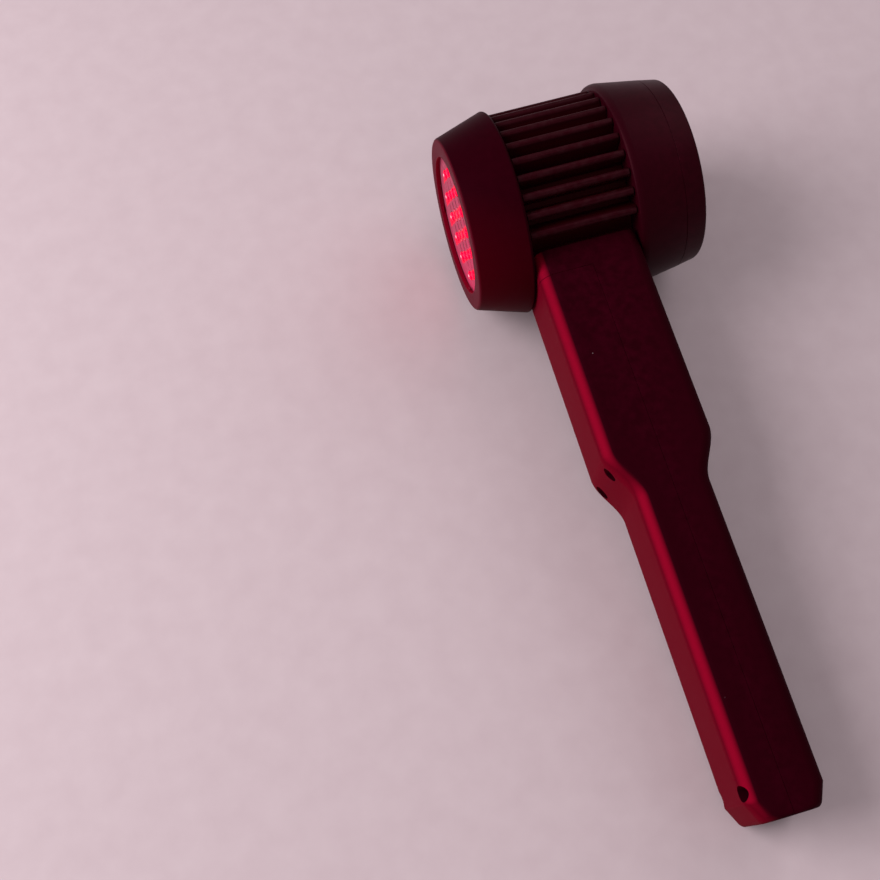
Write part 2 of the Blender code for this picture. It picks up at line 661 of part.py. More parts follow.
def heat_spreader():
    """The aluminium disc that takes the lasers' heat to the heat sink."""
    disc = rod("heat_spreader", SPREADER_FRONT, SPREADER_REAR, SPIGOT_RADIUS, ALUMINIUM, RING_STEPS)
    near = SPREADER_FRONT - CUT_OVERRUN
    far = SPREADER_REAR + CUT_OVERRUN
    bores = LASER_BARREL_RADIUS + FIT_GAP
    cut(disc, cylinder_cutters("spreader_laser_bores", laser_places(), bores, near, far))
    screw_hole = BOARD_SCREW_RADIUS + FIT_GAP
    cut(disc, cylinder_cutters("spreader_screw_holes", board_screw_places(), screw_hole, near, far))
    cut(disc, cylinder_cutters("spreader_lead_hole", [(0, 0)], LEAD_HOLE_RADIUS, near, far))
    return disc


def board_screws():
    """Screws through the diode board and the spreader into the heat sink."""
    seat = DIODE_BOARD_FRONT - FIT_GAP
    tip = SPIGOT_FRONT + BOARD_SCREW_BITE
    head = seat - BOARD_SCREW_HEAD_HEIGHT
    profile = [(tip, 0), (tip, BOARD_SCREW_RADIUS), (seat, BOARD_SCREW_RADIUS)]
    profile += [(seat, BOARD_SCREW_HEAD_RADIUS), (head, BOARD_SCREW_HEAD_RADIUS), (head, 0)]
    for index, (y, z) in enumerate(board_screw_places()):
        turned(f"board_screw_{index + 1}", profile, STEEL, SMALL_STEPS, place=(0, y, z))


def fin_outline():
    """Outline of the finned body in the (y, z) plane, from one side of the pad to the other."""
    half = FIN_THICKNESS / 2
    root = math.sqrt(CORE_RADIUS ** 2 - half ** 2)
    nose = FIN_THICKNESS * FIN_NOSE_SHARE
    crown = math.sqrt(FIN_RADIUS ** 2 - (half - nose) ** 2)
    shoulder = math.sqrt(CORE_RADIUS ** 2 - PAD_HALF_WIDTH ** 2)
    points = [(-PAD_DISTANCE, -PAD_HALF_WIDTH), (-shoulder, -PAD_HALF_WIDTH)]
    for fin in range(-FINS_EACH_SIDE, FINS_EACH_SIDE + 1):
        angle = fin * FIN_PITCH_ANGLE + FIN_TURN_ANGLE
        along = Vector((math.cos(angle), math.sin(angle)))
        aside = Vector((-math.sin(angle), math.cos(angle)))
        side = [(root, half), (crown - nose, half), (crown, half - nose)]
        points += [along * out - aside * off for out, off in side]
        points += [along * out + aside * off for out, off in reversed(side)]
        if fin < FINS_EACH_SIDE:
            middle = angle + FIN_PITCH_ANGLE / 2
            points.append((CORE_RADIUS * math.cos(middle), CORE_RADIUS * math.sin(middle)))
    points += [(-shoulder, PAD_HALF_WIDTH), (-PAD_DISTANCE, PAD_HALF_WIDTH)]
    return points


def heat_sink():
    """The finned body between the rims, with a spigot at each end and a pad for the handle."""
    sink = prism("heat_sink", fin_outline(), -FIN_END, FIN_END, BLACK_ANODISED)
    join(sink, rod("sink_spigots", SPIGOT_FRONT, SPIGOT_REAR, SPIGOT_RADIUS, steps=RING_STEPS))
    cut(sink, rod("sink_bore", WEB_REAR, SPIGOT_REAR + CUT_OVERRUN, CORE_BORE_RADIUS, steps=BORE_STEPS))
    near = SPIGOT_FRONT - CUT_OVERRUN
    screw_far = SPIGOT_FRONT + BOARD_SCREW_BITE + FIT_GAP
    screw_hole = BOARD_SCREW_RADIUS + FIT_GAP
    cut(sink, cylinder_cutters("sink_screw_holes", board_screw_places(), screw_hole, near, screw_far))
    lead_far = WEB_REAR + CUT_OVERRUN
    cut(sink, cylinder_cutters("sink_lead_hole", [(0, 0)], LEAD_HOLE_RADIUS, near, lead_far))
    pad_top = CORE_BORE_RADIUS / 2
    pad_far = PAD_DISTANCE + CUT_OVERRUN
    cut(sink, rod("pad_cable_hole", pad_top, pad_far, CABLE_HOLE_RADIUS, steps=BORE_STEPS, axis=ALONG_HANDLE))
    for side in (-1, 1):
        hole = rod(
            f"pad_screw_hole_{side + 2}", pad_top, pad_far, SADDLE_SCREW_RADIUS + FIT_GAP,
            axis=ALONG_HANDLE, place=(side * SADDLE_SCREW_SPREAD, 0, 0),
        )
        cut(sink, hole)
    return sink


def cover_screw_places():
    return [
        (COVER_SCREW_CIRCLE * math.cos(angle), COVER_SCREW_CIRCLE * math.sin(angle))
        for angle in COVER_SCREW_ANGLES
    ]


def rear_housing():
    """The conical rim on the display side: it seats on the heat sink's rear spigot."""
    flange = HOUSING_FRONT + HOUSING_FLANGE
    profile = [(HOUSING_REAR, HOUSING_REAR_RADIUS), (HOUSING_EDGE, HEAD_RADIUS)]
    turn = math.pi / 2
    for step in range(1, ROUND_STEPS + 1):
        angle = turn * step / ROUND_STEPS
        along = HOUSING_EDGE - HOUSING_EDGE_LENGTH * math.sin(angle)
        profile.append((along, HEAD_RADIUS - HOUSING_EDGE_DROP * (1 - math.cos(angle))))
    profile += [
        (HOUSING_FRONT, SPIGOT_RADIUS + FIT_GAP),
        (flange, SPIGOT_RADIUS + FIT_GAP),
        (flange, HOUSING_BORE_RADIUS),
        (HOUSING_REAR, HOUSING_BORE_RADIUS),
    ]
    housing = turned("rear_housing", profile, BLACK_PLASTIC, level=True)
    for index, (y, z) in enumerate(cover_screw_places()):
        post = rod(
            f"housing_post_{index + 1}", flange - FIT_GAP, POST_REAR, POST_RADIUS, steps=BORE_STEPS // 2,
            place=(0, y, z),
        )
        join(housing, post)
        pilot = rod(
            f"housing_pilot_{index + 1}", POST_REAR - COVER_SCREW_BITE - FIT_GAP, POST_REAR + CUT_OVERRUN,
            COVER_SCREW_RADIUS + FIT_GAP, place=(0, y, z),
        )
        cut(housing, pilot)
    return housing


def button_places():
    return [(-BUTTON_DROP, side * BUTTON_SPACING) for side in (-1, 0, 1)]


def rounded_block(name, near, far, width, height, rise, corner, look=None):
    """A plate with round corners facing along the head's axis, centred at a height of rise."""
    outline = []
    quarter = math.pi / 2
    for index, (up, out) in enumerate(((1, 1), (-1, 1), (-1, -1), (1, -1))):
        centre = (rise + up * (height / 2 - corner), out * (width / 2 - corner))
        outline += arc(centre, corner, index * quarter, (index + 1) * quarter)
    return prism(name, outline, near, far, look)


def rear_cover():
    """The cover with the display window, the button holes and its screw posts."""
    spigot_front = COVER_FRONT - COVER_SPIGOT_LENGTH
    corner = (COVER_REAR - COVER_ROUND, COVER_REAR_RADIUS - COVER_ROUND)
    profile = [(COVER_REAR, 0)]
    profile += arc(corner, COVER_ROUND, 0, math.pi / 2 - REAR_CONE_ANGLE)
    profile += [
        (COVER_FRONT, COVER_FRONT_RADIUS),
        (COVER_FRONT, COVER_SPIGOT_RADIUS),
        (spigot_front, COVER_SPIGOT_RADIUS),
        (spigot_front, COVER_INSIDE_RADIUS),
        (COVER_INSIDE, COVER_INSIDE_RADIUS),
        (COVER_INSIDE, 0),
    ]
    cover = turned("rear_cover", profile, BLACK_PLASTIC, level=True)
    post_front = CONTROL_BOARD_REAR + FIT_GAP
    for index, (y, z) in enumerate(cover_screw_places()):
        post = rod(
            f"cover_post_{index + 1}", post_front, COVER_INSIDE + COVER_FACE / 2, POST_RADIUS,
            steps=BORE_STEPS // 2, place=(0, y, z),
        )
        join(cover, post)
        sunk = rod(
            f"cover_sink_{index + 1}", COVER_REAR - COVER_SCREW_SINK, COVER_REAR + CUT_OVERRUN,
            COVER_SCREW_HEAD_RADIUS + FIT_GAP, place=(0, y, z), steps=BORE_STEPS // 2,
        )
        hole = rod(
            f"cover_hole_{index + 1}", post_front - CUT_OVERRUN, COVER_REAR - COVER_SCREW_SINK / 2,
            COVER_SCREW_RADIUS + FIT_GAP, place=(0, y, z),
        )
        cut(cover, sunk, hole)
    for index, (y, z) in enumerate(button_places()):
        hole = rod(
            f"button_hole_{index + 1}", COVER_INSIDE - CUT_OVERRUN, COVER_REAR + CUT_OVERRUN,
            BUTTON_RADIUS + FIT_GAP, place=(0, y, z), steps=BORE_STEPS,
        )
        cut(cover, hole)
    pocket = rounded_block(
        "window_pocket", WINDOW_FRONT - FIT_GAP, COVER_REAR + CUT_OVERRUN, WINDOW_WIDTH + 2 * FIT_GAP,
        WINDOW_HEIGHT + 2 * FIT_GAP, WINDOW_RISE, WINDOW_CORNER,
    )
    opening = rounded_block(
        "window_opening", COVER_INSIDE - CUT_OVERRUN, WINDOW_REAR, WINDOW_WIDTH - 2 * WINDOW_LEDGE,
        WINDOW_HEIGHT - 2 * WINDOW_LEDGE, WINDOW_RISE, WINDOW_CORNER,
    )
    cut(cover, pocket, opening)
    return cover


def cover_screws():
    """Screws that hold the cover and the control board to the housing's posts."""
    seat = COVER_REAR - COVER_SCREW_SINK + FIT_GAP
    top = seat + COVER_SCREW_HEAD_HEIGHT
    tip = POST_REAR - COVER_SCREW_BITE
    profile = [(top, 0), (top, COVER_SCREW_HEAD_RADIUS), (seat, COVER_SCREW_HEAD_RADIUS)]
    profile += [(seat, COVER_SCREW_RADIUS), (tip, COVER_SCREW_RADIUS), (tip, 0)]
    for index, (y, z) in enumerate(cover_screw_places()):
        turned(f"cover_screw_{index + 1}", profile, STEEL, SMALL_STEPS, place=(0, y, z))


def control_board():
    """The round board under the cover, with the three switches and the buzzer soldered on."""
    board = rod(
        "control_board", CONTROL_BOARD_FRONT, CONTROL_BOARD_REAR, CONTROL_BOARD_RADIUS, BOARD_GREEN,
        RING_STEPS,
    )
    middle = (CONTROL_BOARD_FRONT + CONTROL_BOARD_REAR) / 2
    half = SWITCH_WIDTH / 2
    switch_top = CONTROL_BOARD_REAR + SWITCH_HEIGHT
    for index, (y, z) in enumerate(button_places()):
        low = (middle, y - half, z - half)
        high = (switch_top, y + half, z + half)
        body = block(f"switch_body_{index + 1}", low, high)
        plunger = rod(
            f"switch_plunger_{index + 1}", switch_top - SWITCH_PLUNGER_HEIGHT, PLUNGER_TOP,
            SWITCH_PLUNGER_RADIUS, place=(0, y, z),
        )
        join(board, body, plunger)
    buzzer = rod(
        "buzzer_body", CONTROL_BOARD_FRONT - BUZZER_HEIGHT, middle, BUZZER_RADIUS,
        place=(0, -BUZZER_DROP, BUZZER_SIDE), steps=BORE_STEPS // 2,
    )
    join(board, buzzer)
    holes = cylinder_cutters(
        "control_screw_holes", cover_screw_places(), COVER_SCREW_RADIUS + FIT_GAP,
        CONTROL_BOARD_FRONT - CUT_OVERRUN, CONTROL_BOARD_REAR + CUT_OVERRUN,
    )
    cut(board, holes)
    return board


def display():
    """The display behind the window, and the smoked window in the cover's pocket."""
    half_width = WINDOW_WIDTH / 2 - WINDOW_LEDGE + DISPLAY_MARGIN
    half_height = WINDOW_HEIGHT / 2 - WINDOW_LEDGE + DISPLAY_MARGIN
    block(
        "display_module",
        (CONTROL_BOARD_REAR + FIT_GAP, WINDOW_RISE - half_height, -half_width),
        (COVER_INSIDE - FIT_GAP, WINDOW_RISE + half_height, half_width),
        DISPLAY_GREY,
    )
    rounded_block(
        "display_window", WINDOW_FRONT, WINDOW_REAR, WINDOW_WIDTH, WINDOW_HEIGHT, WINDOW_RISE,
        WINDOW_CORNER, SMOKED_ACRYLIC,
    )


def buttons():
    """The three push buttons: each has a flange that keeps it behind the cover."""
    flange_radius = BUTTON_RADIUS + BUTTON_FLANGE_WIDTH
    origin = COVER_REAR
    profile = [
        (BUTTON_TOP - origin, 0),
        (BUTTON_TOP - origin, BUTTON_RADIUS - BUTTON_EDGE),
        (BUTTON_TOP - BUTTON_EDGE - origin, BUTTON_RADIUS),
        (BUTTON_FLANGE_REAR - origin, BUTTON_RADIUS),
        (BUTTON_FLANGE_REAR - origin, flange_radius),
        (BUTTON_FLANGE_FRONT - origin, flange_radius),
        (BUTTON_FLANGE_FRONT - origin, 0),
    ]
    names = ("mode_button", "power_button", "time_button")
    for name, (y, z) in zip(names, button_places()):
        turned(name, profile, GREY_RUBBER, BORE_STEPS, place=(origin, y, z))


def step_share(distance):
    """How far the handle has narrowed at a distance along it, from 0 to 1."""
    share = min(max((distance - STEP_START) / STEP_LENGTH, 0), 1)
    return share * share * (3 - 2 * share)


def half_width(distance):
    """Half the handle's width at a distance along it, with the cut corners of its end."""
    width = UPPER_HALF_WIDTH + (GRIP_HALF_WIDTH - UPPER_HALF_WIDTH) * step_share(distance)
    corner_start = HANDLE_LENGTH - END_CORNER_LENGTH
    if distance > corner_start:
        width -= END_CORNER_WIDTH * (distance - corner_start) / END_CORNER_LENGTH
    return width


def handle_section(distance, inset, drop=0):
    """A rounded rectangle across the handle, shrunk by inset, and by drop in its thickness."""
    wide = half_width(distance) - inset
    thick = HANDLE_HALF_THICKNESS - inset - drop
    front = FRONT_FILLET - inset
    rear = REAR_FILLET - inset
    points = []
    corners = ((1, 1, rear), (-1, 1, front), (-1, -1, front), (1, -1, rear))
    for index, (side, up, radius) in enumerate(corners):
        centre = (side * (wide - radius), up * (thick - radius))
        for step in range(FILLET_STEPS + 1):
            angle = math.pi / 2 * (index + step / FILLET_STEPS)
            x = centre[0] + radius * math.cos(angle)
            points.append((x, -distance, centre[1] + radius * math.sin(angle)))
    return points


def loft(name, sections, look=None):
    """A closed solid through sections of equal point count."""
    bm = bmesh.new()
    rings = [[bm.verts.new(point) for point in section] for section in sections]
    for ring, following in zip(rings, rings[1:]):
        for index in range(len(ring)):
            after = (index + 1) % len(ring)
            bm.faces.new((ring[index], ring[after], following[after], following[index]))
    bm.faces.new(rings[0])
    bm.faces.new(rings[-1])
    return new_object(name, bm, look)


def step_stations():
    return [STEP_START + STEP_LENGTH * index / (STEP_STATIONS - 1) for index in range(STEP_STATIONS)]


def handle_outside(name, look=None):
    """The handle's outer form from the saddle to its end."""
    sections = [handle_section(SADDLE_TOP, 0)]
    sections += [handle_section(distance, 0) for distance in step_stations()]
    sections.append(handle_section(HANDLE_LENGTH - END_CORNER_LENGTH, 0))
    for step in range(ROUND_STEPS + 1):
        angle = math.pi / 2 * step / ROUND_STEPS
        distance = HANDLE_LENGTH - END_ROUND * (1 - math.sin(angle))
        sections.append(handle_section(distance, 0, END_ROUND * (1 - math.cos(angle))))
    return loft(name, sections, look)


def handle_cavity(name):
    """The hollow of the handle, less the screw posts and the driver board's posts."""
    cavity_top = SADDLE_TOP + SADDLE_THICKNESS
    sections = [handle_section(cavity_top, SHELL_WALL)]
    sections += [handle_section(distance, SHELL_WALL) for distance in step_stations()]
    sections.append(handle_section(HANDLE_LENGTH - END_CORNER_LENGTH, SHELL_WALL))
    sections.append(handle_section(CAVITY_BOTTOM, SHELL_WALL))
    cavity = loft(name, sections)
    reach = UPPER_HALF_WIDTH + CUT_OVERRUN
    for index, (distance, side) in enumerate(HANDLE_SCREWS):
        post = rod(
            f"{name}_post_{index + 1}", -reach, reach, HANDLE_POST_RADIUS, steps=BORE_STEPS // 2,
            place=(0, -distance, side),
        )
        cut(cavity, post)
    for index, distance in enumerate(DRIVER_SCREW_PLACES):
        post = rod(
            f"{name}_driver_post_{index + 1}", DRIVER_REAR + FIT_GAP, reach, DRIVER_POST_RADIUS,
            steps=BORE_STEPS // 2, place=(0, -distance, 0),
        )
        cut(cavity, post)
    return cavity


def socket_hole(name):
    near = CAVITY_BOTTOM - CUT_OVERRUN
    far = HANDLE_LENGTH + CUT_OVERRUN
    radius = SOCKET_BARREL_RADIUS + FIT_GAP
    return rod(name, near, far, radius, steps=BORE_STEPS, axis=ALONG_HANDLE)


def half_space(name, side, top):
    """A box that takes away one side of the handle's middle plane below top."""
    reach = 2 * UPPER_HALF_WIDTH
    inner = side * HALF_SEAM * -1
    outer = side * reach
    low = (min(inner, outer), -(HANDLE_LENGTH + CUT_OVERRUN), -reach)
    high = (max(inner, outer), -top, reach)
    return block(name, low, high)


def rear_handle_shell():
    """The rear half of the handle, with the collar and saddle that carry the head."""
    shell = handle_outside("rear_handle_shell", BLACK_PLASTIC)
    cut(shell, handle_cavity("rear_cavity"), half_space("front_side", -1, COLLAR_BOTTOM))
    cut(shell, socket_hole("rear_socket_hole"))
    cut(shell, rod(
        "saddle_cable_hole", SADDLE_TOP - CUT_OVERRUN, SADDLE_TOP + SADDLE_THICKNESS + CUT_OVERRUN,
        CABLE_HOLE_RADIUS, steps=BORE_STEPS, axis=ALONG_HANDLE,
    ))
    for side in (-1, 1):
        cut(shell, rod(
            f"saddle_screw_hole_{side + 2}", SADDLE_TOP - CUT_OVERRUN,
            SADDLE_TOP + SADDLE_THICKNESS + CUT_OVERRUN, SADDLE_SCREW_RADIUS + FIT_GAP,
            axis=ALONG_HANDLE, place=(side * SADDLE_SCREW_SPREAD, 0, 0),
        ))
    for index, (distance, side) in enumerate(HANDLE_SCREWS):
        cut(shell, rod(
            f"rear_pilot_{index + 1}", -CUT_OVERRUN, HANDLE_SCREW_BITE + FIT_GAP,
            HANDLE_SCREW_RADIUS + FIT_GAP, place=(0, -distance, side),
        ))
    for index, distance in enumerate(DRIVER_SCREW_PLACES):
        cut(shell, rod(
            f"driver_pilot_{index + 1}", DRIVER_REAR - CUT_OVERRUN,
            UPPER_HALF_WIDTH - SHELL_WALL, DRIVER_SCREW_RADIUS + FIT_GAP,
            place=(0, -distance, 0),
        ))
    return shell


def front_handle_shell():
    """The front half of the handle: a cover screwed on from the laser side."""
    shell = handle_outside("front_handle_shell", BLACK_PLASTIC)
    top = block(
        "above_front_shell",
        (-2 * UPPER_HALF_WIDTH, -(COLLAR_BOTTOM + FIT_GAP), -2 * UPPER_HALF_WIDTH),
        (2 * UPPER_HALF_WIDTH, -SADDLE_TOP + CUT_OVERRUN, 2 * UPPER_HALF_WIDTH),
    )
    cut(shell, handle_cavity("front_cavity"), half_space("rear_side", 1, SADDLE_TOP - CUT_OVERRUN), top)
    cut(shell, socket_hole("front_socket_hole"))
    reach = UPPER_HALF_WIDTH + CUT_OVERRUN
    for index, (distance, side) in enumerate(HANDLE_SCREWS):
        cut(shell, rod(
            f"front_sink_{index + 1}", -reach, SCREW_SEAT, HANDLE_SCREW_HEAD_RADIUS + FIT_GAP,
            steps=BORE_STEPS // 2, place=(0, -distance, side),
        ))
        cut(shell, rod(
            f"front_hole_{index + 1}", SCREW_SEAT - CUT_OVERRUN, CUT_OVERRUN,
            HANDLE_SCREW_RADIUS + FIT_GAP, place=(0, -distance, side),
        ))
    return shell


def handle_screws():
    """Screws that hold the front shell to the rear one, deep in their holes."""
    seat = SCREW_SEAT - FIT_GAP
    head = seat - HANDLE_SCREW_HEAD_HEIGHT
    tip = HANDLE_SCREW_BITE
    profile = [(tip, 0), (tip, HANDLE_SCREW_RADIUS), (seat, HANDLE_SCREW_RADIUS)]
    profile += [(seat, HANDLE_SCREW_HEAD_RADIUS), (head, HANDLE_SCREW_HEAD_RADIUS), (head, 0)]
    for index, (distance, side) in enumerate(HANDLE_SCREWS):
        turned(f"handle_screw_{index + 1}", profile, STEEL, SMALL_STEPS, place=(0, -distance, side))


def saddle_screws():
    """Screws from inside the handle into the heat sink's pad."""
    seat = SADDLE_TOP + SADDLE_THICKNESS + FIT_GAP
    head = seat + SADDLE_SCREW_HEAD_HEIGHT
    tip = CORE_BORE_RADIUS
    profile = [(head, 0), (head, SADDLE_SCREW_HEAD_RADIUS), (seat, SADDLE_SCREW_HEAD_RADIUS)]
    profile += [(seat, SADDLE_SCREW_RADIUS), (tip, SADDLE_SCREW_RADIUS), (tip, 0)]
    for index, side in enumerate((-1, 1)):
        place = (side * SADDLE_SCREW_SPREAD, 0, 0)
        turned(f"saddle_screw_{index + 1}", profile, STEEL, SMALL_STEPS, ALONG_HANDLE, place)


def battery_cell():
    """The rechargeable cell in the grip."""
    profile = [
        (CAN_BOTTOM, 0),
        (CAN_BOTTOM, BATTERY_RADIUS - BATTERY_EDGE),
        (CAN_BOTTOM - BATTERY_EDGE, BATTERY_RADIUS),
        (CAN_TOP + BATTERY_EDGE, BATTERY_RADIUS),
        (CAN_TOP, BATTERY_RADIUS - BATTERY_EDGE),
        (CAN_TOP, BATTERY_NUB_RADIUS),
        (BATTERY_TOP, BATTERY_NUB_RADIUS),
        (BATTERY_TOP, 0),
    ]
    turned("battery_cell", profile, CELL_WRAP, BORE_STEPS, ALONG_HANDLE)


def battery_holder():
    """The open tray that carries the cell, with a wall at each end."""
    floor_low = -(HANDLE_HALF_THICKNESS - SHELL_WALL - FIT_GAP)
    floor_high = -(BATTERY_RADIUS + FIT_GAP)
    wide = HOLDER_HALF_WIDTH
    tray = block(
        "battery_holder", (-wide, -HOLDER_BOTTOM, floor_low), (wide, -HOLDER_TOP, floor_high), BLACK_PLASTIC
    )
    top_wall = block(
        "holder_top_wall",
        (-wide, -(HOLDER_TOP + HOLDER_WALL), floor_low),
        (wide, -HOLDER_TOP, BATTERY_RADIUS),
    )
    bottom_wall = block(
        "holder_bottom_wall",
        (-wide, -HOLDER_BOTTOM, floor_low),
        (wide, -(HOLDER_BOTTOM - HOLDER_WALL), BATTERY_RADIUS),
    )
    join(tray, top_wall, bottom_wall)
    return tray


def battery_contacts():
    """The flat contact at the cell's nub and the coil spring at its other end."""
    half = CONTACT_HALF_WIDTH
    block(
        "battery_contact",
        (-half, -(CONTACT_TOP + CONTACT_THICKNESS), -half),
        (half, -CONTACT_TOP, half),
        STEEL,
    )
    points = []
    count = SPRING_TURNS * SPRING_TURN_POINTS
    rise = SPRING_LENGTH - 2 * SPRING_WIRE_RADIUS
    for step in range(count + 1):
        angle = 2 * math.pi * step / SPRING_TURN_POINTS
        along = SPRING_TOP + SPRING_WIRE_RADIUS + rise * step / count
        x = SPRING_COIL_RADIUS * math.cos(angle)
        points.append((x, -along, SPRING_COIL_RADIUS * math.sin(angle)))
    tube("battery_spring", points, SPRING_WIRE_RADIUS, STEEL)


def tube(name, points, radius, look):
    """A round wire along points, with closed ends."""
    curve = bpy.data.curves.new(name, "CURVE")
    curve.dimensions = "3D"
    curve.bevel_depth = radius
    curve.bevel_resolution = 1
    curve.render_resolution_u = 0
    curve.use_fill_caps = True
    spline = curve.splines.new("POLY")
    spline.points.add(len(points) - 1)
    for point, place in zip(spline.points, points):
        point.co = (*place, 1)
    curve.materials.append(material(name + "_finish", look))
    obj = bpy.data.objects.new(name, curve)
    PARTS.objects.link(obj)
    return obj


def smooth_route(knots):
    """Points on one smooth curve through the knots, whose first and last spans stay straight."""
    knots = [Vector(knot) for knot in knots]
    first = (knots[1] - knots[0]).normalized()
    last = (knots[-1] - knots[-2]).normalized()
    inner = [(after - before).normalized() for before, after in zip(knots[1:], knots[3:])]
    ways = [first, first, *inner[:-1], last, last]
    points = [knots[0]]
    for index, (start, end) in enumerate(zip(knots, knots[1:])):
        length = (end - start).length
        for step in range(1, LEAD_STEPS + 1):
            share = step / LEAD_STEPS
            square = share * share
            cube = square * share
            point = start * (2 * cube - 3 * square + 1) + end * (3 * square - 2 * cube)
            point += ways[index] * length * (cube - 2 * square + share)
            point += ways[index + 1] * length * (cube - square)
            points.append(point)
    return points


def driver_board():
    """The laser driver board in the upper handle, with its coil and chip soldered on."""
    half = DRIVER_WIDTH / 2
    board = block(
        "driver_board",
        (DRIVER_SET_BACK, -DRIVER_BOTTOM, -half),
        (DRIVER_REAR, -DRIVER_TOP, half),
        BOARD_GREEN,
    )
    middle = (DRIVER_SET_BACK + DRIVER_REAR) / 2
    centre = -(DRIVER_TOP + DRIVER_BOTTOM) / 2
    inductor_half = INDUCTOR_SIDE / 2
    inductor = block(
        "driver_inductor",
        (DRIVER_SET_BACK - INDUCTOR_HEIGHT, centre - inductor_half, -half),
        (middle, centre + inductor_half, -half + INDUCTOR_SIDE),
    )
    chip_half = CHIP_SIDE / 2
    chip = block(
        "driver_chip",
        (DRIVER_SET_BACK - CHIP_HEIGHT, centre - chip_half, half - CHIP_SIDE),
        (middle, centre + chip_half, half - FIT_GAP),
    )
    inductor.location = (0, 0, FIT_GAP)
    join(board, inductor, chip)
    for index, distance in enumerate(DRIVER_SCREW_PLACES):
        cut(board, rod(
            f"driver_hole_{index + 1}", DRIVER_SET_BACK - CUT_OVERRUN, DRIVER_REAR + CUT_OVERRUN,
            DRIVER_SCREW_RADIUS + FIT_GAP, place=(0, -distance, 0),
        ))
    seat = DRIVER_SET_BACK - FIT_GAP
    head = seat - DRIVER_SCREW_HEAD_HEIGHT
    tip = UPPER_HALF_WIDTH - SHELL_WALL - FIT_GAP
    profile = [(tip, 0), (tip, DRIVER_SCREW_RADIUS), (seat, DRIVER_SCREW_RADIUS)]
    profile += [(seat, DRIVER_SCREW_HEAD_RADIUS), (head, DRIVER_SCREW_HEAD_RADIUS), (head, 0)]
    for index, distance in enumerate(DRIVER_SCREW_PLACES):
        turned(f"driver_screw_{index + 1}", profile, STEEL, SMALL_STEPS, place=(0, -distance, 0))


def charging_socket():
    """The charging socket in the end of the handle and the small board that it is soldered to."""
    half_height = SOCKET_HEIGHT / 2
    half_width_here = SOCKET_WIDTH / 2
    socket = block(
        "charge_socket",
        (-half_width_here, -(CAVITY_BOTTOM - FIT_GAP), -half_height),
        (half_width_here, -SOCKET_TOP, half_height),
        BLACK_PLASTIC,
    )
    barrel = rod(
        "socket_barrel", SOCKET_TOP + SOCKET_LENGTH / 2, SOCKET_FACE, SOCKET_BARREL_RADIUS,
        steps=BORE_STEPS, axis=ALONG_HANDLE,
    )
    bore_top = SOCKET_FACE - SOCKET_BORE_DEPTH
    bore = [
        (SOCKET_FACE + CUT_OVERRUN, SOCKET_BORE_RADIUS),
        (bore_top, SOCKET_BORE_RADIUS),
        (bore_top, SOCKET_PIN_RADIUS),
        (SOCKET_FACE + CUT_OVERRUN, SOCKET_PIN_RADIUS),
    ]
    pin_end = bore_top + SOCKET_PIN_LENGTH
    join(socket, barrel)
    cut(socket, turned("socket_bore", bore, None, BORE_STEPS // 2, ALONG_HANDLE))
    cut(socket, rod(
        "socket_pin_end", pin_end, SOCKET_FACE + CUT_OVERRUN, SOCKET_PIN_RADIUS + FIT_GAP,
        steps=BORE_STEPS // 2, axis=ALONG_HANDLE,
    ))
    half = CHARGE_BOARD_WIDTH / 2
    block(
        "charge_board",
        (CHARGE_BOARD_FRONT, -CHARGE_BOARD_BOTTOM, -half),
        (
            CHARGE_BOARD_FRONT + CIRCUIT_BOARD_THICKNESS,
            -(CHARGE_BOARD_BOTTOM - CHARGE_BOARD_LENGTH),
            half,
        ),
        BOARD_GREEN,
    )


def leads():
    """Leads from the driver board to the diodes, to the control board and to the battery."""
    board_face = DRIVER_SET_BACK - FIT_GAP
    lane = -LEAD_SPREAD
    start = DRIVER_SCREW_PLACES[0] + LEAD_BEND
    side = LEAD_SPREAD
    rise = SADDLE_TOP + SADDLE_THICKNESS
    laser = [
        (board_face, -start, side),
        (board_face - LEAD_STRAIGHT, -start, side),
        (lane, -(start - LEAD_BEND / 2), side),
        (0, -(rise + LEAD_BEND / 2), side),
        (0, -SADDLE_TOP, side),
        (-LEAD_BEND / 4, -LEAD_BEND * 3 / 2, side),
        (-LEAD_BEND * 3 / 4, -LEAD_BEND / 2, side / 2),
        (WEB_REAR + LEAD_BEND / 4, 0, 0),
        (SPREADER_REAR, 0, 0),
        (SPREADER_FRONT, 0, 0),
    ]
    tube("laser_leads", smooth_route(laser), LASER_LEAD_RADIUS, RED_WIRE)
    control = [
        (board_face, -start, -side),
        (board_face - LEAD_STRAIGHT, -start, -side),
        (lane, -(start - LEAD_BEND / 2), -side),
        (0, -(rise + LEAD_BEND / 2), -side),
        (0, -SADDLE_TOP, -side),
        (LEAD_BEND / 4, -LEAD_BEND * 3 / 2, -side),
        (LEAD_BEND, -LEAD_BEND * 3 / 4, -side),
        (CONTROL_BOARD_FRONT - FIT_GAP - LEAD_STRAIGHT, -LEAD_BEND / 2, -side),
        (CONTROL_BOARD_FRONT - FIT_GAP, -LEAD_BEND / 2, -side),
    ]
    tube("control_leads", smooth_route(control), CONTROL_LEAD_RADIUS, GREY_WIRE)
    low_start = DRIVER_SCREW_PLACES[1] - LEAD_BEND
    battery = [
        (board_face, -low_start, 0),
        (board_face - LEAD_STRAIGHT, -low_start, 0),
        (lane, -(low_start + LEAD_BEND / 2), 0),
        (-DRIVER_SET_BACK, -UPPER_SCREW_PLACE, 0),
        (0, -(HOLDER_TOP - FIT_GAP - LEAD_STRAIGHT), 0),
        (0, -(HOLDER_TOP - FIT_GAP), 0),
    ]
    tube("battery_leads", smooth_route(battery), BATTERY_LEAD_RADIUS, RED_WIRE)


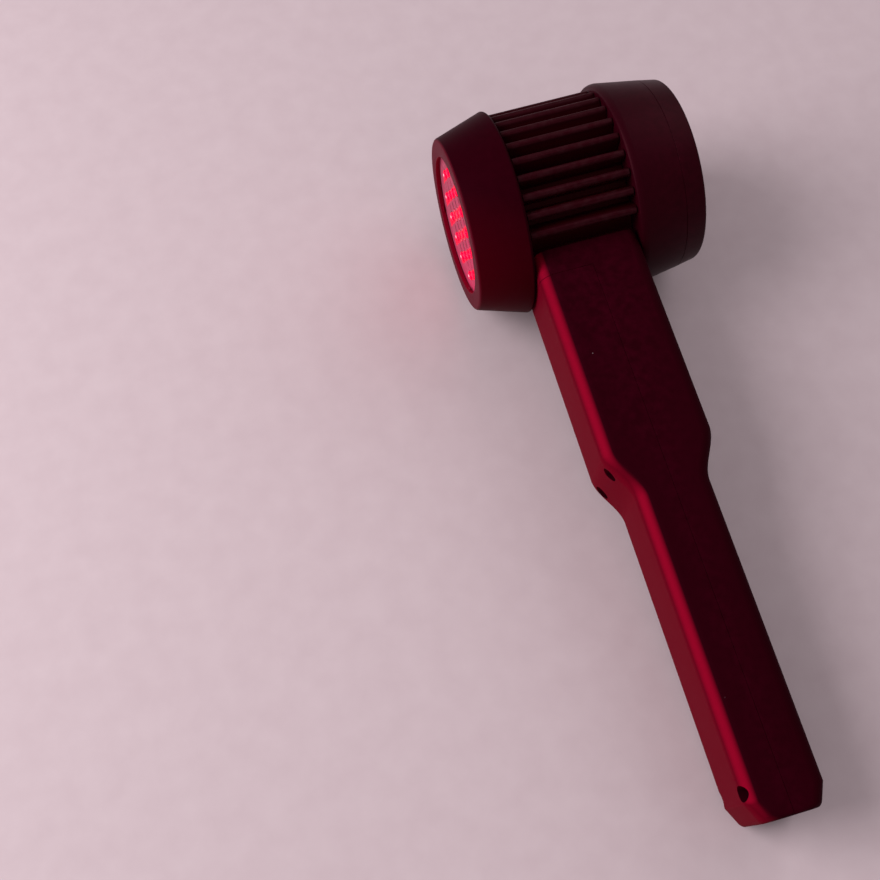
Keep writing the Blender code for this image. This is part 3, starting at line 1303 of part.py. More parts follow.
def build():
    front_bezel()
    light_plate()
    diode_board()
    red_diodes()
    infrared_lasers()
    heat_spreader()
    board_screws()
    heat_sink()
    rear_housing()
    rear_cover()
    cover_screws()
    control_board()
    display()
    buttons()
    rear_handle_shell()
    front_handle_shell()
    handle_screws()
    saddle_screws()
    battery_cell()
    battery_holder()
    battery_contacts()
    driver_board()
    charging_socket()
    leads()


def lay_down():
    """Parents everything to one empty that gives the device its pose at rest."""
    device = bpy.data.objects.new("device", None)
    PARTS.objects.link(device)
    device.location = DEVICE_PLACE
    device.rotation_euler = (REST_TILT, 0, 0)
    for obj in list(PARTS.objects) + list(CUTTERS.objects):
        if obj is not device:
            obj.parent = device


build()
lay_down()
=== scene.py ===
"""Looks for the hand-held cold laser therapy device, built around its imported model.

Metres, +Z up. The detailed pieces are made in the device's own frame, in which the head's axis is X
and the handle runs along -Y, and one matrix lays that frame down on the floor.
"""

import math

import bmesh
import bpy
from mathutils import Matrix, Vector


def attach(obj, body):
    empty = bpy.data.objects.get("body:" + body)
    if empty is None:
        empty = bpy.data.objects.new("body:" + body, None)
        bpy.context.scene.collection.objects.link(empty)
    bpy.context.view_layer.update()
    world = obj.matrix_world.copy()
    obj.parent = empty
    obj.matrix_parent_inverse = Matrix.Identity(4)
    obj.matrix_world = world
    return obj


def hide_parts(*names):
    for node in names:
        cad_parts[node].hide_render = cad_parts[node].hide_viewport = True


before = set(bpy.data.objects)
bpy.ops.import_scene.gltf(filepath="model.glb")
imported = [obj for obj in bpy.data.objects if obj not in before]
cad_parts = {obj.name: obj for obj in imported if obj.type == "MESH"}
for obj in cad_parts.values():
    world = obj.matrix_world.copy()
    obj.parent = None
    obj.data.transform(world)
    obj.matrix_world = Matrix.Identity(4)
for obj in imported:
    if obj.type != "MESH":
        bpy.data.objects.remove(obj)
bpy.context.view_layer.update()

QUARTER = math.pi / 2
FULL_TURN = 2 * math.pi

# Pose of the device's own frame in the world
REST_TILT = 0.08721373616072406
DEVICE_PLACE = Vector((-0.003, 0.08413684176821794, 0.033))
DEVICE = Matrix.Translation(DEVICE_PLACE) @ Matrix.Rotation(REST_TILT, 4, "X")
ALONG_HEAD = Matrix.Rotation(math.radians(90), 4, "Y")
ALONG_HANDLE = Matrix.Rotation(math.radians(90), 4, "X")

# Gaps, joints and the overreach of cutters
GAP = 0.0003
SEAM = 0.00008
SEAM_EDGE = 0.00008
OVERCUT = 0.001

# Sizes of the heat sink
HEAD_RADIUS = 0.0330
FIN_RADIUS = 0.0313
CORE_RADIUS = 0.0240
SPIGOT_RADIUS = 0.0234
SPIGOT_FRONT = -0.0224
SPIGOT_REAR = 0.0202
FIN_THICKNESS = 0.0025
FIN_PITCH = math.radians(11.1)
FIN_TURN = math.radians(1.55)
FINS_EACH_SIDE = 12
FIN_END = 0.0170
FIN_END_CHAMFER = 0.0002
FIN_ROOT_ROUND = 0.0005
FIN_NOSE_FLAT = 0.00005
PAD_DISTANCE = 0.0237
PAD_HALF_WIDTH = 0.0110

# Sizes of the bezel
BEZEL_REAR = -0.0173
BEZEL_FRONT = -0.0344
BEZEL_FRONT_RADIUS = 0.0280
BEZEL_REAR_ROUND = 0.0010
BEZEL_FRONT_ROUND = 0.0012
OPENING_RADIUS = 0.0224
OPENING_ROUND = 0.0002
LIP_DEPTH = 0.0013
TAB_FRONT = 0.0005
TAB_REAR = 0.0010
TAB_REACH = 0.0008
TAB_ROOT = 0.0004
TAB_HALF_WIDTH = 0.0010
TAB_TURNS = (45, 135, 225, 315)

# Sizes of the plate and the diodes
PLATE_FRONT = -0.0328
PLATE_REAR = -0.0316
PLATE_EDGE = 0.0002
SKIRT_REAR = -0.0289
SKIRT_WALL = 0.0011
SLOT_HALF_WIDTH = 0.00035
SLOT_SPARE = 0.0008
DIODE_TIP = -0.0335
DIODE_BASE = -0.0289
DIODE_DOME = 0.0006
DIODE_FLANGE = 0.0012
DIODE_FLANGE_RADIUS = 0.0028
CAP_RADIUS = 0.0015
BARREL_REAR = -0.0233
BARREL_RADIUS = 0.0020
LENS_RADIUS = 0.0014
LENS_DOME = 0.0005
DIODE_PITCH = 0.0066976
DIODE_TURN = math.radians(27)
ROW_WAY = (math.cos(DIODE_TURN), math.sin(DIODE_TURN))
COLUMN_WAY = (-math.sin(DIODE_TURN), math.cos(DIODE_TURN))

# Sizes of the housing and its cover
HOUSING_FRONT = 0.0173
HOUSING_EDGE = 0.0197
HOUSING_REAR = 0.0326
HOUSING_ROUND = 0.0009
HOUSING_WALL = 0.0024
HOUSING_FLANGE = 0.0035
COVER_FRONT = 0.0329
COVER_REAR = 0.0398
COVER_INSIDE = 0.0376
COVER_ROUND = 0.0010
COVER_SPIGOT_INSET = 0.0027
COVER_SPIGOT_WALL = 0.0016
COVER_SPIGOT_LENGTH = 0.0012
REAR_CONE = math.radians(9.2)
REAR_SLOPE = math.tan(REAR_CONE)
FACE_RADIUS = 0.028745
POST_REAR = 0.0293
POST_RADIUS = 0.0031

# Sizes of the buttons and the display
BUTTON_TOP = 0.0404
BUTTON_ROUND = 0.0006
FLANGE_FRONT = 0.0364
FLANGE_REAR = 0.0373
FLANGE_WIDTH = 0.0011
BUTTON_RADIUS = FACE_RADIUS * 0.156
BUTTON_SPACING = FACE_RADIUS * 0.444
BUTTON_DROP = FACE_RADIUS * 0.333
MARK_RISE = 0.00004
WINDOW_WIDTH = FACE_RADIUS * 1.09
WINDOW_HEIGHT = FACE_RADIUS * 0.496
WINDOW_RISE = FACE_RADIUS * 0.333
WINDOW_LEDGE = 0.0016
WINDOW_CORNER = 0.0015
WINDOW_FRONT = 0.0386
WINDOW_REAR = 0.0396
PANEL_FRONT = 0.0315
PANEL_REAR = 0.0373
PANEL_INSET = 0.0007
DIGIT_HALF_HEIGHT = 0.0034
DIGIT_HALF_WIDTH = 0.0019
BAR_HALF_WIDTH = 0.00035
BAR_THICKNESS = 0.0002

# Sizes of the grip
UPPER_HALF = 0.0170
GRIP_HALF = 0.0113
HALF_THICK = 0.0157
WALL = 0.0018
SADDLE_TOP = 0.0240
SADDLE_EDGE = 0.0003
SADDLE_THICKNESS = 0.0030
LEAD_HOLE_RADIUS = 0.0040
COLLAR_BOTTOM = 0.0325
STEP_START = 0.0912
STEP_END = 0.1071
CAVITY_BOTTOM = 0.1990
HANDLE_END = 0.2008
END_CORNER_LENGTH = 0.0061
END_CORNER_START = HANDLE_END - END_CORNER_LENGTH
END_CORNER_WIDTH = 0.0028
END_CORNER_ROUND = 0.0006
END_ROUND = 0.0015
FRONT_FILLET = 0.0050
REAR_FILLET = 0.0040
CORNER_STEPS = 12

# Places of the screws and their posts
COVER_SCREW_CIRCLE = 0.022911
COVER_SCREW_SEAT = 0.0375
COVER_SCREW_TIP = 0.0248
COVER_SCREW_HOLE = 0.0027
SCREW_SEAT = -0.00415
SCREW_SHAFT_RADIUS = 0.0012
HANDLE_SCREWS = [(0.09651, 0.0090), (0.09651, -0.0090), (0.1920, 0.0123), (0.1920, -0.0123)]
HANDLE_POST_RADIUS = 0.0033
HANDLE_PILOT_RADIUS = 0.0015
DRIVER_POSTS = [(0.0430, 0), (0.0867, 0)]
DRIVER_POST_START = 0.0064
DRIVER_POST_RADIUS = 0.0030
SADDLE_SCREW_SIDE = 0.009265

# Sizes of the charge socket
SOCKET_TOP = 0.1877
SOCKET_HOLE_RADIUS = 0.0043
SOCKET_DEPTH = 0.0090
SOCKET_BORE = 0.0029


# Modelling helpers
def link(name, data):
    obj = bpy.data.objects.new(name, data)
    bpy.context.scene.collection.objects.link(obj)
    return obj


def from_bmesh(name, bm):
    bmesh.ops.recalc_face_normals(bm, faces=bm.faces)
    mesh = bpy.data.meshes.new(name)
    bm.to_mesh(mesh)
    bm.free()
    return link(name, mesh)


def arc(centre, radius, start, end, steps):
    points = []
    for step in range(steps + 1):
        angle = start + (end - start) * step / steps
        points.append((centre[0] + radius * math.cos(angle), centre[1] + radius * math.sin(angle)))
    return points


def dome(tip, height, radius, steps):
    """The points of a dome's profile between its rim and its tip."""
    points = []
    for step in range(1, steps):
        angle = QUARTER * step / steps
        points.append((tip + height * (1 - math.sin(angle)), radius * math.cos(angle)))
    return points


def lathe(name, profile, steps=128, axis=ALONG_HEAD, place=(0, 0, 0)):
    """A turned mesh from (distance along the axis, radius) points."""
    bm = bmesh.new()
    turn = Matrix.Translation(Vector(place)) @ axis
    rings = []
    for along, radius in profile:
        if radius < 1e-7:
            rings.append([bm.verts.new(turn @ Vector((0, 0, along)))])
            continue
        circle = arc((0, 0), radius, 0, FULL_TURN, steps)[:-1]
        rings.append([bm.verts.new(turn @ Vector((x, y, along))) for x, y in circle])
    pairs = list(zip(rings, rings[1:]))
    if len(rings[0]) > 1 and len(rings[-1]) > 1:
        pairs.append((rings[-1], rings[0]))
    for one, two in pairs:
        for step in range(steps):
            after = (step + 1) % steps
            near = [one[step % len(one)], one[after % len(one)]]
            far = [two[after % len(two)], two[step % len(two)]]
            corners = list(dict.fromkeys(near + far))
            if len(corners) > 2:
                bm.faces.new(corners)
    return from_bmesh(name, bm)


def cylinder(near, far, radius, steps, axis=ALONG_HEAD, place=(0, 0, 0)):
    profile = [(far, 0), (far, radius), (near, radius), (near, 0)]
    return lathe("cylinder", profile, steps, axis, place)


def box(name, low, high):
    bm = bmesh.new()
    bmesh.ops.create_cube(bm, size=1)
    bmesh.ops.scale(bm, vec=[b - a for a, b in zip(low, high)], verts=bm.verts)
    bmesh.ops.translate(bm, vec=[(a + b) / 2 for a, b in zip(low, high)], verts=bm.verts)
    return from_bmesh(name, bm)


def loft(name, sections):
    """A closed mesh through rings of equally many points."""
    bm = bmesh.new()
    rings = [[bm.verts.new(point) for point in section] for section in sections]
    count = len(rings[0])
    for one, two in zip(rings, rings[1:]):
        for index in range(count):
            after = (index + 1) % count
            bm.faces.new((one[index], one[after], two[after], two[index]))
    bm.faces.new(rings[0])
    bm.faces.new(rings[-1])
    return from_bmesh(name, bm)


def apply_all(obj):
    """Bakes the modifiers into the mesh."""
    bpy.context.view_layer.update()
    shape = obj.evaluated_get(bpy.context.evaluated_depsgraph_get())
    mesh = bpy.data.meshes.new_from_object(shape)
    obj.modifiers.clear()
    old = obj.data
    obj.data = mesh
    bpy.data.meshes.remove(old)
    return obj


def cut(obj, cutters):
    for cutter in cutters:
        modifier = obj.modifiers.new("cut", "BOOLEAN")
        modifier.operation = "DIFFERENCE"
        modifier.solver = "EXACT"
        modifier.object = cutter
    apply_all(obj)
    for cutter in cutters:
        bpy.data.objects.remove(cutter)
    return obj


def bevel(obj, width, segments=2, angle=40):
    modifier = obj.modifiers.new("edges", "BEVEL")
    modifier.width = width
    modifier.segments = segments
    modifier.limit_method = "ANGLE"
    modifier.angle_limit = math.radians(angle)
    modifier.miter_outer = "MITER_ARC"
    return apply_all(obj)


def merge(obj, others):
    """Adds the other objects' meshes to one object."""
    bm = bmesh.new()
    for part in [obj, *others]:
        bm.from_mesh(part.data)
    bm.to_mesh(obj.data)
    bm.free()
    for other in others:
        bpy.data.objects.remove(other)
    return obj


def finish_piece(obj, look, body="device_body", nodes=(), smooth=40):
    """Shades a piece, lays it down with the device and lets it ride on its body."""
    material, slot = LOOKS[look]
    obj.data.materials.clear()
    obj.data.materials.append(material)
    obj.data.shade_smooth()
    obj.data.set_sharp_from_angle(angle=math.radians(smooth))
    obj.data.transform(Matrix.Rotation(REST_TILT, 4, "X"))
    obj.matrix_world = Matrix.Translation(DEVICE @ obj.location)
    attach(obj, body)
    if nodes:
        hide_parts(*nodes)


# Material helpers
def tinted(base, factor):
    return tuple(min(1.0, channel * factor) for channel in base)


class Shader:
    """A Principled material with short calls for its texture nodes."""

    def __init__(self, name, base, roughness, metallic=0.0, gloss=0.5):
        self.material = bpy.data.materials.new(name)
        self.material.use_nodes = True
        self.tree = self.material.node_tree
        self.shader = self.tree.nodes["Principled BSDF"]
        self.set("Base Color", (*base, 1.0))
        self.set("Roughness", roughness)
        self.set("Metallic", metallic)
        self.set("Specular IOR Level", gloss)
        self.material.diffuse_color = (*base, 1.0)
        self.place = self.tree.nodes.new("ShaderNodeTexCoord").outputs["Object"]

    def set(self, socket, value):
        self.shader.inputs[socket].default_value = value

    def colour(self, output):
        self.link(output, "Base Color")

    def glow(self, output, strength):
        self.link(output, "Emission Color")
        self.set("Emission Strength", strength)

    def link(self, output, socket):
        self.tree.links.new(output, self.shader.inputs[socket])

    def feed(self, socket, value):
        """Links a socket to an output, or gives it a plain value."""
        if isinstance(value, bpy.types.NodeSocket):
            self.tree.links.new(value, socket)
        else:
            socket.default_value = value

    def node(self, kind, **inputs):
        made = self.tree.nodes.new(kind)
        for key, value in inputs.items():
            self.feed(made.inputs[key.replace("_", " ")], value)
        return made

    def stretched(self, scale):
        return self.node("ShaderNodeMapping", Vector=self.place, Scale=scale).outputs["Vector"]

    def axes(self):
        return self.node("ShaderNodeSeparateXYZ", Vector=self.place).outputs

    def noise(self, scale, detail=3.0, rough=0.5, vector=None):
        where = vector or self.place
        made = self.node("ShaderNodeTexNoise", Vector=where, Scale=scale, Detail=detail, Roughness=rough)
        return made.outputs["Fac"]

    def ramp(self, value, low, high, to_low=0.0, to_high=1.0):
        ends = {"From_Min": low, "From_Max": high, "To_Min": to_low, "To_Max": to_high}
        return self.node("ShaderNodeMapRange", Value=value, **ends).outputs["Result"]

    def math(self, operation, one, two=0.0):
        made = self.tree.nodes.new("ShaderNodeMath")
        made.operation = operation
        self.feed(made.inputs[0], one)
        self.feed(made.inputs[1], two)
        return made.outputs["Value"]

    def times(self, one, two):
        return self.math("MULTIPLY", one, two)

    def mix(self, factor, one, two):
        made = self.tree.nodes.new("ShaderNodeMix")
        made.data_type = "RGBA"
        self.feed(made.inputs[0], factor)
        for index, colour in ((6, one), (7, two)):
            self.feed(made.inputs[index], (*colour, 1.0) if isinstance(colour, tuple) else colour)
        return made.outputs[2]

    def bump(self, height, strength, distance):
        made = self.node("ShaderNodeBump", Height=height, Strength=strength, Distance=distance)
        self.link(made.outputs["Normal"], "Normal")

    def blend(self, value, one, two, low=0.3, high=0.7):
        return self.mix(self.ramp(value, low, high), one, two)

    def varied(self, value, base, low, high):
        """A tone between two shares of the base."""
        return self.blend(value, tinted(base, low), tinted(base, high))

    def uneven(self, mask, low, high):
        self.link(self.ramp(mask, 0.3, 0.7, low, high), "Roughness")

    def facing(self, way, low, high):
        """A mask of the surface that faces one way in the object's own axes."""
        normal = self.tree.nodes.new("ShaderNodeTexCoord").outputs["Normal"]
        dot = self.tree.nodes.new("ShaderNodeVectorMath")
        dot.operation = "DOT_PRODUCT"
        self.tree.links.new(normal, dot.inputs[0])
        dot.inputs[1].default_value = way
        return self.ramp(dot.outputs["Value"], low, high)

    def distance(self, one, two):
        squares = self.math("ADD", self.times(one, one), self.times(two, two))
        return self.math("SQRT", squares)

    def within(self, far, near):
        """A mask of what lies nearer to the head's axis than a radius."""
        axes = self.axes()
        return self.ramp(self.distance(axes["Y"], axes["Z"]), far, near)

    def cell(self, y, z, way, start=0.0):
        """The place across one cell of the diodes' grid, from -0.5 to 0.5."""
        along = self.math("ADD", self.times(y, way[0]), self.times(z, way[1]))
        cells = self.math("ADD", self.math("DIVIDE", along, DIODE_PITCH), start)
        return self.math("SUBTRACT", self.math("FRACT", cells), 0.5)

    def glow_rings(self, y, z):
        """A mask of the diodes' light on the plate, most of it along their rows."""
        across = self.times(self.cell(y, z, COLUMN_WAY), 0.22)
        ring = self.ramp(self.distance(self.cell(y, z, ROW_WAY), across), 0.25, 0.16)
        return self.times(ring, self.within(0.0190, 0.0180))

    def slot_shade(self, y, z):
        """A mask of the soft shade round the slots, which lie between the rows."""
        length = self.ramp(self.math("ABSOLUTE", self.cell(y, z, ROW_WAY, 0.5)), 0.24, 0.17)
        width = self.ramp(self.math("ABSOLUTE", self.cell(y, z, COLUMN_WAY)), 0.20, 0.10)
        return self.times(self.times(length, width), self.within(0.0140, 0.0120))

    def specks(self, scale, share, size):
        """A mask of small dots, in a share of the cells of a grid."""
        cells = self.node("ShaderNodeTexVoronoi", Vector=self.place, Scale=scale)
        dot = self.ramp(cells.outputs["Distance"], size, size * 0.5)
        split = self.node("ShaderNodeSeparateColor", Color=cells.outputs["Color"])
        return self.times(dot, self.ramp(split.outputs["Red"], 1 - share, 1 - share + 0.001))

    def worn_edges(self, low, high, scale, patch):
        """A mask of the outer edges, in patches."""
        edge = self.tree.nodes.new("ShaderNodeNewGeometry").outputs["Pointiness"]
        return self.times(self.ramp(edge, low, high), self.ramp(self.noise(scale), patch, 0.7))


def moulded(name, base, roughness, grain=2600, depth=0.00003, dust=0.008, gloss=0.08,
            painted_side_glow=None, painted_edge_highlight=None, face=None, inner=None):
    """Moulded plastic: a fine matt grain, slow changes of gloss, worn edges and a little dust.

    painted_side_glow paints the lasers' red light on what faces the laser side and the floor,
    painted_edge_highlight a red highlight on the long edge above it, face a painted glow on the
    front ring and inner the diodes' painted glow on the wall of the opening.
    """
    look = Shader(name, base, roughness, 0.0, gloss)
    # The red specular tint is the lasers' red light painted into the reflections.
    look.set("Specular Tint", (1.0, 0.28, 0.36, 1.0))
    slow = look.noise(34, 3.0, 0.55)
    streak = look.noise(9, 4.0, 0.6, look.stretched((1.0, 0.25, 1.0)))
    colour = look.varied(slow, base, 0.95, 1.06)
    # Painted light: the lasers' red glow on the side facing them and the floor, and a red highlight
    # along the long edge.
    if painted_side_glow:
        side = look.ramp(look.axes()["X"], -0.0035, -0.0065)
        colour = look.mix(look.times(look.facing((-0.75, -0.60, -0.28), 0.10, 0.80), side), colour, painted_side_glow)
        if painted_edge_highlight:
            along = look.facing((-0.70, 0.0, 0.71), 0.90, 1.0)
            colour = look.mix(look.times(along, side), colour, painted_edge_highlight)
    # Painted light: a red glow on the front ring.
    if face:
        colour = look.mix(look.facing((-1.0, 0.0, 0.0), 0.55, 0.95), colour, face)
    # Painted light: the diodes' red glow on the wall of the opening.
    if inner:
        colour = look.mix(look.within(OPENING_RADIUS + 0.0002, OPENING_RADIUS + 0.00005), colour, inner)
    worn = look.worn_edges(0.51, 0.60, 420, 0.35)
    colour = look.mix(look.times(worn, 0.3), colour, tinted(base, 4.0))
    colour = look.mix(look.times(look.specks(420, dust, 0.10), 0.5), colour, (0.30, 0.20, 0.22))
    look.colour(colour)
    rough = look.ramp(slow, 0.3, 0.7, roughness - 0.02, roughness + 0.02)
    rough = look.math("ADD", rough, look.ramp(streak, 0.4, 0.7, -0.015, 0.015))
    look.link(look.math("ADD", rough, look.times(worn, -0.06)), "Roughness")
    look.bump(look.noise(grain, 2.0, 0.6), 0.5, depth)
    return look.material


def anodised(name, base, roughness):
    """Black anodised extrusion: fine draw lines, a little dust and a painted red glow between the fins.
    """
    look = Shader(name, base, roughness, 0.1, 0.08)
    # The red specular tint is the lasers' red light painted into the reflections.
    look.set("Specular Tint", (1.0, 0.36, 0.44, 1.0))
    lines = look.noise(1.0, 3.0, 0.6, look.stretched((60, 5200, 5200)))
    colour = look.blend(lines, tinted(base, 0.75), tinted(base, 1.5), 0.35)
    # Painted light: a red glow on the fins' sides, down towards the core.
    painted_flank_glow = look.within(FIN_RADIUS - 0.0008, FIN_RADIUS - 0.0030)
    colour = look.mix(painted_flank_glow, colour, (0.036, 0.0010, 0.0026))
    colour = look.mix(look.times(look.specks(300, 0.006, 0.09), 0.8), colour, (0.50, 0.36, 0.38))
    worn = look.worn_edges(0.53, 0.62, 500, 0.4)
    look.colour(look.mix(look.times(worn, 0.12), colour, (0.14, 0.07, 0.08)))
    look.uneven(look.noise(60), roughness - 0.06, roughness + 0.06)
    look.bump(lines, 0.35, 0.00002)
    return look.material


def turned_metal(name, base, roughness):
    """Machined or plated metal with a fine uneven gloss."""
    look = Shader(name, base, roughness, 1.0)
    fine = look.noise(3200, 2.0)
    look.colour(look.varied(look.noise(300), base, 0.8, 1.1))
    look.uneven(fine, roughness - 0.05, roughness + 0.08)
    look.bump(fine, 0.2, 0.00001)
    return look.material


def glowing_lens(name, hot, body, edge, strength):
    """A lit lens, brightest in its middle. Its object's own origin is on the lens's axis."""
    look = Shader(name, body, 0.30, 0.0, 0.05)
    axes = look.axes()
    share = look.math("DIVIDE", look.distance(axes["Y"], axes["Z"]), CAP_RADIUS)
    share = look.math("ADD", share, look.ramp(look.noise(900, 2.0), 0.3, 0.7, -0.06, 0.06))
    colour = look.blend(share, hot, body, 0.20, 0.42)
    look.glow(look.blend(share, colour, edge, 0.60, 1.0), strength)
    look.colour(look.blend(share, body, tinted(body, 0.5), 0.2, 0.9))
    look.set("Coat Weight", 0.03)
    look.set("Coat Roughness", 0.15)
    return look.material


def pale_plate(name):
    """Pale plastic with moulding lines; painted diode light, and painted shade at its slots and holes.
    """
    look = Shader(name, (0.36, 0.03, 0.07), 0.5, 0.0, 0.10)
    axes = look.axes()
    lines = look.noise(1.0, 2.0, 0.5, look.stretched((900, 900, 3600)))
    # The plate's red is the diodes' light painted on white plastic, lighter towards -Y and darker
    # towards +Y.
    low = look.blend(lines, (0.38, 0.012, 0.055), (0.50, 0.030, 0.100), 0.35)
    high = look.blend(lines, (0.21, 0.030, 0.055), (0.30, 0.060, 0.100), 0.35)
    colour = look.blend(axes["Y"], low, high, -0.018, 0.020)
    colour = look.mix(look.ramp(look.noise(180), 0.35, 0.75, 0.0, 0.35), colour, (0.40, 0.010, 0.060))
    # Painted light: the diodes' glow along their rows; painted shade round the slots.
    glow = look.glow_rings(axes["Y"], axes["Z"])
    shade = look.times(look.slot_shade(axes["Y"], axes["Z"]), 0.55)
    # Painted shade in the holes and slots.
    inside = look.ramp(axes["X"], PLATE_FRONT + 0.00012, PLATE_FRONT + 0.00020)
    colour = look.mix(glow, colour, (0.55, 0.0, 0.022))
    colour = look.mix(shade, colour, (0.10, 0.012, 0.025))
    look.colour(look.mix(inside, colour, (0.045, 0.004, 0.010)))
    # The plate's emission is painted diode light, dimmed by painted shade round the slots and in the
    # holes.
    light = look.mix(glow, (0.11, 0.012, 0.026), (0.55, 0.0, 0.025))
    light = look.mix(shade, light, (0.03, 0.0, 0.004))
    look.glow(look.mix(inside, light, (0.01, 0.0, 0.001)), 1.0)
    look.bump(lines, 0.3, 0.00003)
    return look.material


def circuit(name, base):
    """Solder mask with tracks just under it."""
    look = Shader(name, base, 0.38)
    shares = {"Color1": 0.8, "Color2": 1.3, "Mortar": 2.2}
    tones = {socket: (*tinted(base, share), 1.0) for socket, share in shares.items()}
    tracks = look.node("ShaderNodeTexBrick", Vector=look.place, Scale=220.0, **tones).outputs
    slow = look.noise(500)
    colour = look.mix(look.ramp(slow, 0.4, 0.7, 0.0, 0.4), tracks["Color"], tinted(base, 0.6))
    look.colour(colour)
    look.uneven(slow, 0.30, 0.46)
    look.bump(tracks["Fac"], 0.3, 0.00003)
    return look.material


def smooth_cover(name, base, roughness):
    """Wire cover or shrink wrap: smooth, slightly uneven plastic."""
    look = Shader(name, base, roughness)
    slow = look.noise(600)
    look.colour(look.varied(slow, base, 0.75, 1.2))
    look.uneven(slow, roughness - 0.08, roughness + 0.08)
    look.bump(slow, 0.15, 0.00003)
    return look.material


def smoked(name):
    """Smoked acrylic with faint wiping marks."""
    look = Shader(name, (0.05, 0.045, 0.05), 0.06)
    marks = look.noise(60, 4.0, 0.65, look.stretched((1.0, 0.5, 1.6)))
    look.link(look.ramp(marks, 0.45, 0.75, 0.05, 0.16), "Roughness")
    look.colour(look.blend(marks, (0.34, 0.30, 0.31), (0.42, 0.38, 0.39), 0.3, 0.8))
    look.set("Transmission Weight", 0.9)
    look.set("IOR", 1.49)
    return look.material


def soft_rubber(name, base, roughness):
    """Silicone rubber with a fine grain and pale specks of dust."""
    look = Shader(name, base, roughness)
    slow = look.noise(250)
    dust = look.times(look.specks(700, 0.05, 0.12), 0.3)
    look.colour(look.mix(dust, look.varied(slow, base, 0.8, 1.25), (0.4, 0.37, 0.37)))
    look.uneven(slow, roughness - 0.05, roughness + 0.06)
    look.bump(look.noise(3000, 2.0, 0.6), 0.4, 0.00003)
    return look.material


def lit_digit(name):
    """A glowing segment of the display."""
    look = Shader(name, (0.9, 0.05, 0.06), 0.4)
    look.glow(look.blend(look.noise(2000, 2.0), (1.0, 0.03, 0.06), (1.0, 0.10, 0.12)), 2.2)
    return look.material


def lit_brass(name):
    """Turned brass with the diodes' red glow painted into its colour and emission."""
    look = Shader(name, (0.72, 0.09, 0.09), 0.26, 0.9)
    turned = look.noise(1.0, 2.0, 0.5, look.stretched((5200, 600, 600)))
    look.colour(look.blend(turned, (0.62, 0.05, 0.07), (0.80, 0.13, 0.10)))
    look.uneven(turned, 0.20, 0.34)
    # Painted light: the diodes' red glow given as the brass's own emission.
    look.set("Emission Color", (1.0, 0.02, 0.10, 1.0))
    look.set("Emission Strength", 0.45)
    return look.material


# The dark red in these blacks is the lasers' red light, painted into black plastic.
BLACK = (0.0205, 0.0003, 0.0030)
RIM_BLACK = tinted(BLACK, 0.96)
PAINTED_RED_GLOW = (0.1250, 0.0006, 0.0080)
RED_LENS = ((0.95, 0.0, 0.040), (0.70, 0.0, 0.028), 1.3)

# Each look is a material and the record's slot that it stands for
LOOKS = {
    # Painted light: the shell's red side glow and the red highlight along its long edge.
    "shell": (moulded(
        "black_shell_plastic", BLACK, 0.56, grain=2200, depth=0.00004, gloss=0.014,
        painted_side_glow=PAINTED_RED_GLOW, painted_edge_highlight=tinted(PAINTED_RED_GLOW, 1.9),
    ), "black_plastic"),
    # Painted light: the bezel's red side glow, the glow on its front ring and on the wall of its
    # opening.
    "bezel": (moulded(
        "black_bezel_plastic", RIM_BLACK, 0.44, grain=3000, depth=0.000025, gloss=0.014,
        painted_side_glow=tinted(PAINTED_RED_GLOW, 0.45), face=(0.085, 0.004, 0.012), inner=(0.17, 0.001, 0.012),
    ), "black_plastic"),
    "rim": (moulded("black_rim_plastic", RIM_BLACK, 0.44, grain=3000, depth=0.000025), "black_plastic"),
    # The fins' dark red is the lasers' red light, painted into black anodising.
    "sink": (anodised("black_anodised_fins", (0.0210, 0.0012, 0.0032), 0.40), "black_anodised"),
    "plate": (pale_plate("pale_diode_plate"), "white_plastic"),
    "red": (glowing_lens("lit_red_lens", (1.0, 0.02, 0.08), *RED_LENS), "red_lens"),
    # Painted highlight: a white glint in the middle of the outer lens of each row.
    "painted_glint_red": (glowing_lens("bright_red_lens", (1.0, 0.80, 0.88), *RED_LENS), "red_lens"),
    "deep_red": (glowing_lens(
        "dim_infrared_lens", (1.0, 0.02, 0.08), (0.75, 0.0, 0.04), (0.40, 0.0, 0.02), 1.0,
    ), "red_lens"),
    "brass": (lit_brass("lit_brass_barrel"), "brass"),
    "steel": (turned_metal("plated_screw_steel", (0.42, 0.41, 0.41), 0.32), "screw_steel"),
    "aluminium": (turned_metal("turned_aluminium", (0.66, 0.67, 0.68), 0.34), "bare_aluminium"),
    "board": (circuit("green_solder_mask", (0.012, 0.085, 0.035)), "circuit_board"),
    "wrap": (smooth_cover("blue_cell_wrap", (0.03, 0.15, 0.40), 0.34), "cell_wrap"),
    "red_wire": (smooth_cover("red_wire_cover", (0.45, 0.02, 0.02), 0.42), "red_wire"),
    "grey_wire": (smooth_cover("grey_wire_cover", (0.26, 0.26, 0.28), 0.42), "grey_wire"),
    "smoked": (smoked("smoked_window"), "smoked_window"),
    "button": (soft_rubber("grey_button_rubber", (0.056, 0.050, 0.052), 0.58), "grey_rubber"),
    "mark": (soft_rubber("pale_button_mark", (0.62, 0.60, 0.60), 0.50), "grey_rubber"),
    "panel": (smooth_cover("display_panel_black", (0.012, 0.011, 0.012), 0.40), "display"),
    "socket": (moulded(
        "black_socket_plastic", (0.014, 0.010, 0.011), 0.40, grain=3600, depth=0.00002, dust=0.0,
    ), "black_plastic"),
    "digit": (lit_digit("lit_display_digit"), "display"),
}


